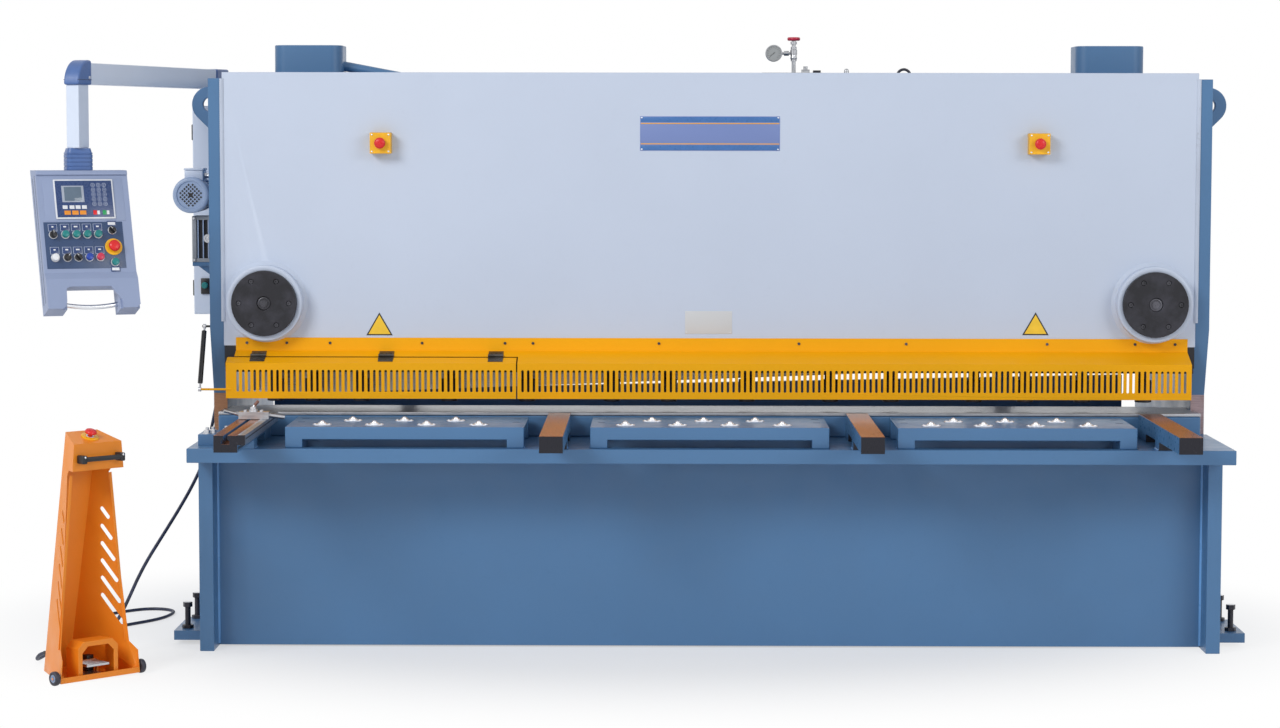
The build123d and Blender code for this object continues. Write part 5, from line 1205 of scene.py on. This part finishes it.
class ShearPendant(bpy.types.Operator):
    """Shapes the swinging arm's joints and the operator panel with its display, keys and buttons"""

    bl_idname = "shear.pendant"
    bl_label = "Operator panel"
    arm_pivot = (-1885, 180)
    row_low = 345
    row_high = 262
    columns = (-118, -76, -38, 0, 38)
    side = 88
    stop_down = 308
    chin = [(-160, -397), (160, -397), (160, -518), (149, -530), (100, -530), (98, -500), (86, -484),
            (64, -452), (-80, -452), (-91, -458), (-93, -505), (-98, -522), (-108, -530), (-160, -530)]
    key_rows = range(5)
    key_columns = range(3)
    key_ring = [(5.8, 0), (7.2, 0), (7.2, 0.7), (5.8, 0.7), (5.8, 0)]
    cap = [(0, 0), (12.5, 0), (12.8, 9), (12, 12), (9, 13.4), (0, 13.8)]
    bezel = [(0, 0), (15.2, 0), (15.2, 3), (13.8, 4.4), (12.6, 4.4), (0, 4.4)]
    knob = [(0, 3), (13, 3), (13, 8), (11.5, 9.5), (0, 9.5)]
    handle_middle = (-503, -38)
    handle_half = 92
    handle_drop = 9

    def execute(self, context):
        self.arm()
        self.housing()
        self.display()
        self.controls()
        self.handle()
        return {"FINISHED"}

    def arm(self):
        softened("pendant_tubes", 3)
        softened("pendant_elbows", 7, "elbow_blue", segments=4)
        x, y, low = PENDANT_TOP
        turn = math.atan2(y - self.arm_pivot[1], x - self.arm_pivot[0])
        along = moved(x, y, 0) @ Matrix.Rotation(turn, 4, "Z")
        trim = bmesh.new()
        slab(trim, (-55.4, -29.4, 2010), (46, 29.4, 2011.5), along)
        settle(trim, "elbow_seam", "pendant_arm", "black_plastic")
        screw = bmesh.new()
        for side in (-1, 1):
            pan_screw(screw, along @ facing(at(-36, side * 29, 2018), (0, side, 0)), 6)
        settle(screw, "elbow_screws", "pendant_arm", "chrome", "zinc")
        ribs = [(0, -1.5), (1.5, 0)]
        for foot in (12, 26, 40, 54):
            ribs += [(foot, 0), (foot + 1, -1.8), (foot + 2.5, -1.8), (foot + 3.5, 0)]
        ribs += [(60, 0), (62, -2.5), (76.4, -6.5)]
        made = bmesh.new()
        place = moved(x, y, low + 0.2) @ Matrix.Rotation(math.radians(PANEL_YAW), 4, "Z")
        tower(made, place, 92, 70, 16, ribs, 44)
        piece = settle(made, "pendant_coupling_ribbed", "pendant", "panel_grey", "elbow_blue", 40)
        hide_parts("pendant_coupling")

    def housing(self):
        softened("pendant_housing", 3, segments=3)
        made = bmesh.new()
        slab(made, (-160, -46, -1), (160, -29, 7), panel_face(), 3, 3)
        pressed(made, panel_face(), self.chin, -0.6, 13, 27)
        settle(made, "panel_chin", "pendant", "panel_grey", sharp=25, bevel=2, segments=3)
        carrier = bmesh.new()
        slab(carrier, (-140, -212, -0.5), (140, -55, 1.0), panel_face(), 0.6)
        settle(carrier, "display_carrier", "pendant", "panel_grey")
        grooves = bmesh.new()
        for x in (-160.2, 160.2):
            for lift in (-52, -22):
                slab(grooves, (x - 0.3, -500, lift), (x + 0.3, -40, lift + 2.5), panel_face())
        settle(grooves, "panel_side_grooves", "pendant", "panel_grey", "shadow_grey")

    def tile(self, made, middle, size, low, high, edge=0.4):
        """Adds a flat tile on the panel's face; middle is (across, down)."""
        (x, down), (width, height) = middle, size
        slab(made, (x - width / 2, -down - height / 2, low), (x + width / 2, -down + height / 2, high),
             panel_face(), edge)

    def display(self):
        layers = {
            "white_moulding": [((1, 134), (208, 144), 1, 6, 2.0)],
            "legend": [((1, 134), (197, 133), 5.8, 6.6, 0.3)],
            "screen_bezel": [((-38, 116), (77, 60), 6.4, 7.6, 0.6)],
            "screen": [((-38, 116), (60, 51), 7.4, 8.0, 0.2)],
            "key_white": [*[((x, 164), (17, 13), 6.4, 7.8, 0.5) for x in (-69, -45, -24, -2)],
                          *[((x, 184), (9, 14), 6.4, 7.6, 0.5) for x in (46, 79)]],
            "orange_moulding": [((x, 184), (22, 15), 6.4, 7.8, 0.5) for x in (-62, -35, -8)],
            "button_red": [((34, 184), (13, 16), 6.4, 7.8, 0.5)],
            "key_green": [((67, 184), (13, 16), 6.4, 7.8, 0.5)],
        }
        for finish, tiles in layers.items():
            made = bmesh.new()
            for tile in tiles:
                self.tile(made, *tile)
            settle(made, "display_" + finish, "pendant", "control_mix", finish)
        rings = bmesh.new()
        for row in self.key_rows:
            for column in self.key_columns:
                middle = (34 + column * 19.5, 84 + row * 17.2)
                turned(rings, self.key_ring, panel_face(*middle, 6.6), 20)
                self.tile(rings, middle, (4.5, 3), 6.6, 7.1, 0.1)
        settle(rings, "keypad_rings", "pendant", "control_mix", "key_pale")

    def controls(self):
        field = bmesh.new()
        self.tile(field, (-11, 300), (274, 168), -0.5, 1.2, 0.5)
        piece = settle(field, "button_field", "pendant", "control_mix", "field_blue")
        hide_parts("pendant_controls")
        frames = bmesh.new()
        faces = bmesh.new()
        signs = bmesh.new()
        for n, x in enumerate(self.columns):
            for row in (self.row_high, self.row_low):
                self.tile(frames, (x, row - 26), (31, 26), 1.0, 1.8, 0.2)
                self.tile(faces, (x, row - 26), (28, 23), 1.7, 2.1, 0.1)
                self.tile(signs, (x, row - 29), (7 + 3 * (n % 3), 5), 2.0, 2.4, 0.1)
        for down in (self.row_high - 39, self.row_low + 43):
            self.tile(faces, (self.side, down), (32, 18), 1.0, 2.0, 0.2)
            self.tile(signs, (self.side, down), (26, 10), 1.8, 2.4, 0.1)
        settle(frames, "label_frames", "pendant", "control_mix", "key_pale")
        settle(faces, "label_faces", "pendant", "control_mix", "legend")
        settle(signs, "label_marks", "pendant", "control_mix", "key_white")
        self.buttons()
        ring = bmesh.new()
        turned(ring, ShearStops.ring, panel_face(self.side, self.stop_down), 48)
        settle(ring, "panel_stop_ring", "pendant", "box_yellow")

    def buttons(self):
        high, low = self.row_high, self.row_low
        columns = self.columns
        kinds = {
            "control_mix": [(x, high) for x in columns[1:]] + [(self.side, 364)],
            "key_white": [(columns[0], low)],
            "blue_button": [(columns[3], low)],
            "pink_button": [(columns[4], low)],
        }
        bezels = bmesh.new()
        for finish, spots in kinds.items():
            made = bmesh.new()
            for spot in spots:
                turned(made, self.cap, panel_face(*spot, 4))
                turned(bezels, self.bezel, panel_face(*spot, 1))
            settle(made, "caps_" + finish, "pendant", "control_mix", finish, 45)
        knobs = bmesh.new()
        grips = ((columns[0], high, 5), (columns[1], low, -35), (columns[2], low, 40), (self.side, 248, 42))
        for x, down, turn in grips:
            place = panel_face(x, down, 1)
            turned(bezels, self.bezel, place)
            turned(knobs, self.knob, place)
            tilted = place @ Matrix.Rotation(math.radians(turn), 4, "Z")
            slab(knobs, (-4, -13, 9), (4, 13, 20), tilted, 2)
            slab(bezels, (-0.8, 3, 19.8), (0.8, 12.4, 20.4), tilted, 0.2)
        settle(knobs, "selector_knobs", "pendant", "control_mix", "black_plastic")
        settle(bezels, "button_bezels", "pendant", "chrome", "zinc")

    def handle(self):
        """The bowed bar under the panel, a round bar swept along an arc."""
        half, drop = self.handle_half, self.handle_drop
        down, lift = self.handle_middle
        radius = (half * half + drop * drop) / (2 * drop)
        swing = math.asin(half / radius)
        made = bmesh.new()
        start = (moved(-half, down, lift) @ Matrix.Rotation(-swing, 4, "Z")
                 @ Matrix.Rotation(math.pi / 2, 4, "Y"))
        circle = bmesh.ops.create_circle(made, cap_ends=False, segments=18, radius=8.5 * MM, matrix=start)
        edges = list({edge for vert in circle["verts"] for edge in vert.link_edges})
        bmesh.ops.spin(made, geom=circle["verts"] + edges, cent=at(0, down - drop + radius, lift),
                       axis=(0, 0, 1), angle=2 * swing, steps=20, use_merge=False)
        bmesh.ops.holes_fill(made, edges=made.edges)
        bmesh.ops.recalc_face_normals(made, faces=made.faces)
        bmesh.ops.transform(made, matrix=panel_face(), verts=made.verts)
        piece = settle(made, "panel_handle_bar", "pendant", "chrome", sharp=60)
        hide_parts("pendant_handle")


class ShearStrut(bpy.types.Operator):
    """Finishes the gas strut of the guard's hinged section"""

    bl_idname = "shear.strut"
    bl_label = "Gas strut"
    upper_eye_foot = 1111

    def execute(self, context):
        tube = softened("strut_tube", 0.6, "black_gloss", segments=1)
        repaint(tube, "zinc", lambda middle, normal: middle.z > self.upper_eye_foot)
        softened("strut_rod", 0.4, "zinc", segments=1)
        return {"FINISHED"}


class ShearStand(bpy.types.Operator):
    """Finishes the pedal stand: rims, hood, treadle, handle and wheels"""

    bl_idname = "shear.stand"
    bl_label = "Pedal stand"
    rim = ((133.4, 29.6, 112), (78.4, 57.6, 690))
    ridges = range(20, 90, 10)
    bar_start = (-84, -28, 748)
    bar = [(0, 0), (8, 0), (9, 4), (9, 12), (8.4, 16), (8.4, 152), (9, 156), (9, 164), (8, 168), (0, 168)]
    bracket_middles = (-76, 76)
    wheel_reach = 163
    tyre = [(4.6, 0), (14, 0), (14, 1.5), (20, 0.6), (23, 2.6), (24, 6.5), (24, 13.5), (23, 17.4),
            (20, 19.4), (15, 19), (14, 17), (4.6, 17), (4.6, 0)]
    hub = [(0, 16), (13.5, 16), (13.5, 18.2), (11, 18.6), (9, 17.4), (6, 17.4), (5.4, 19.6), (0, 20)]
    spokes = 5

    def execute(self, context):
        softened("stand_shell", 0.7, segments=1)
        softened("stand_hood", 1.0)
        self.rims()
        self.treadle()
        self.grip()
        self.wheels()
        return {"FINISHED"}

    def rims(self):
        made = bmesh.new()
        base = stand_place()
        for side in (-1, 1):
            start, end = [base @ at(side * x, y, z) for x, y, z in self.rim]
            strip(made, start, end, base.to_3x3() @ Vector((0, -1, 0)), 10, 2.4)
        settle(made, "stand_rims", "machine", "stand_orange", bevel=0.6)

    def treadle(self):
        softened("foot_pedal", 1.5, "tread_plate")
        ridges = bmesh.new()
        for y in self.ridges:
            slab(ridges, (-40, y, 53), (40, y + 3.5, 54.6), stand_place(), 0.7)
        settle(ridges, "pedal_ridges", "stand_pedal", "bright_steel", "tread_plate")
        base = bmesh.new()
        slab(base, (-52, 16, 8), (52, 112, 12), stand_place(), 1)
        settle(base, "pedal_base", "machine", "bright_steel", "tread_plate")
        block = bmesh.new()
        slab(block, (24, 112, 8), (52, 140, 66), stand_place(), 3)
        settle(block, "pedal_switch", "machine", "black_plastic")

    def grip(self):
        made = bmesh.new()
        turned(made, self.bar, stand_place(*self.bar_start) @ Matrix.Rotation(math.pi / 2, 4, "Y"), 24)
        for x in self.bracket_middles:
            slab(made, (x - 9, -37, 734), (x + 9, 0.4, 762), stand_place(), 4, 3)
        piece = settle(made, "stand_grip", "machine", "black_plastic")
        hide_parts("stand_handle")
        screws = bmesh.new()
        for x in self.bracket_middles:
            pan_screw(screws, stand_place(x, -37, 756) @ Matrix.Rotation(math.pi / 2, 4, "X"), 4)
        settle(screws, "grip_screws", "machine", "chrome", "zinc")

    def wheels(self):
        for side, name in ((-1, "left"), (1, "right")):
            outward = Matrix.Rotation(side * math.pi / 2, 4, "Y")
            axis = stand_place(side * self.wheel_reach, 14, 24) @ outward
            tyre = bmesh.new()
            turned(tyre, self.tyre, axis, 40)
            piece = settle(tyre, "wheel_tyre_" + name, "stand_wheel_" + name, "wheel_rubber", sharp=50)
            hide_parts("stand_wheel_" + name)
            hub = bmesh.new()
            turned(hub, self.hub, axis, 28)
            for n in range(self.spokes):
                spoke = axis @ Matrix.Rotation(FULL_TURN * n / self.spokes, 4, "Z")
                slab(hub, (6, -1.2, 16.5), (12, 1.2, 18.9), spoke, 0.4)
            settle(hub, "wheel_hub_" + name, "stand_wheel_" + name, "motor_grey")


# The cable's route from the gland to the stand, in millimetres
CABLE_POINTS = [
    (-1850, 60, 1118), (-1850, 60, 1078), (-1849, 48, 1026), (-1847, 21, 974),
    (-1844, -20, 926), (-1841, -68, 890), (-1838, -124, 862), (-1835, -186, 840),
    (-1832, -250, 818), (-1830, -310, 791), (-1830, -366, 756), (-1833, -414, 712),
    (-1839, -458, 660), (-1853, -508, 606), (-1875, -568, 548), (-1903, -630, 489),
    (-1934, -690, 430), (-1966, -748, 372), (-1998, -804, 314), (-2025, -858, 254),
    (-2047, -904, 194), (-2068, -944, 142), (-2094, -977, 96), (-2124, -1000, 56),
    (-2158.9, -1007.7, 27.9), (-2194.2, -995.2, 9.5), (-2225, -968.9, 6.5), (-2240, -924, 6.5),
    (-2248, -870, 6.5), (-2250, -804, 6.5), (-2247, -732, 6.5), (-2242, -660, 6.5),
    (-2233, -590, 6.5), (-2220, -525, 6.5), (-2201, -462, 6.5), (-2174, -406, 6.5),
    (-2140, -356, 6.5), (-2104, -308, 6.5), (-2072, -260, 6.5), (-2047, -208, 6.5),
    (-2033, -152, 6.5), (-2027, -96, 6.5), (-2032, -48, 6.5), (-2061, -10, 6.5),
    (-2105, 8, 6.5), (-2152, 0, 6.5), (-2190, -31, 6.5), (-2226, -70, 6.5),
    (-2257, -116, 6.5), (-2283, -170, 6.5), (-2302, -236, 6.5), (-2314, -308, 6.5),
    (-2321, -382, 6.5), (-2325, -460, 6.5), (-2325, -540, 6.5), (-2321, -622, 6.5),
    (-2315, -706, 6.5), (-2311, -790, 6.5), (-2311, -872, 6.5), (-2315, -952, 6.5),
    (-2322, -1022, 6.5), (-2327, -1082, 6.5), (-2328, -1130, 10), (-2322, -1168, 20),
    (-2310, -1199, 34), (-2294, -1224, 46), (-2275.844, -1242.823, 51), (-2254.3, -1263.7, 51),
]


class ShearCable(bpy.types.Operator):
    """Lays the pedal's control cable from the cabinet over the floor to the stand"""

    bl_idname = "shear.cable"
    bl_label = "Pedal cable"
    sleeve = [(6.1, 0), (10.5, 0), (10.5, 4), (9.6, 6), (9.6, 10), (7.2, 38), (6.1, 38), (6.1, 0)]

    def execute(self, context):
        size = context.scene.shear_sizes
        curve = bpy.data.curves.new("pedal_cable_line", "CURVE")
        curve.dimensions = "3D"
        curve.bevel_depth = size.cable_diameter / 2
        curve.bevel_resolution = 4
        curve.resolution_u = 8
        curve.use_fill_caps = True
        line = curve.splines.new("NURBS")
        line.points.add(len(CABLE_POINTS) - 1)
        for point, (x, y, z) in zip(line.points, CABLE_POINTS):
            point.co = (x * MM, y * MM, z * MM, 1.0)
        line.order_u = 3
        line.use_endpoint_u = True
        line.use_smooth = True
        curve.materials.append(FINISH["cable_dark"])
        cable = linked("pedal_cable_line", curve)
        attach(cable, "machine")
        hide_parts("pedal_cable")
        self.reliefs()
        return {"FINISHED"}

    def reliefs(self):
        """The tapered sleeves in which the cable leaves the cabinet and enters the stand."""
        made = bmesh.new()
        turned(made, self.sleeve, facing(at(*CABLE_POINTS[0]), (0, 0, -1), (0, 1, 0)), 24)
        turned(made, self.sleeve, facing(at(*CABLE_POINTS[-1]), (-0.718, 0.696, 0)), 24)
        return settle(made, "cable_sleeves", "machine", "black_plastic")


class ShearSizes(bpy.types.PropertyGroup):
    """Sizes of the fittings."""

    guard_screw: length_property("Guard screw head", "Across the guard's cap screws", 10)
    cable_diameter: length_property("Cable diameter", "Outside of the pedal cable's sheath", 12)
    cable_length: length_property("Cable length", "From the cabinet's gland to the stand's", 4185)


class ShearPanel(bpy.types.Panel):
    """Lists the machine's pieces, its colours and its studio"""

    bl_idname = "VIEW3D_PT_shear"
    bl_label = "Plate Shear"
    bl_space_type = "VIEW_3D"
    bl_region_type = "UI"
    bl_category = "Shear"

    def draw(self, context):
        for operator in STEPS:
            self.layout.operator(operator.bl_idname)
        for group in (context.scene.shear_sizes, context.scene.shear_colours, context.scene.shear_studio):
            for name in group.bl_rna.properties.keys():
                if name not in ("rna_type", "name"):
                    self.layout.prop(group, name)


GROUPS = {"shear_colours": ShearColours, "shear_studio": ShearStudio, "shear_sizes": ShearSizes}
STEPS = (ShearStudioSet, ShearFrame, ShearPlates, ShearCovers, ShearStops, ShearGuard, ShearTable, ShearTop,
         ShearDrive, ShearPendant, ShearStrut, ShearStand, ShearCable)


def register():
    for made in (*GROUPS.values(), *STEPS, ShearPanel):
        bpy.utils.register_class(made)
    for name, group in GROUPS.items():
        setattr(bpy.types.Scene, name, PointerProperty(type=group))


def unregister():
    for name in GROUPS:
        delattr(bpy.types.Scene, name)
    for made in reversed((*GROUPS.values(), *STEPS, ShearPanel)):
        bpy.utils.unregister_class(made)


def main():
    register()
    FINISH.update(stock())
    for step in STEPS:
        area, name = step.bl_idname.split(".")
        getattr(getattr(bpy.ops, area), name)()


if __name__ == "__main__":
    main()
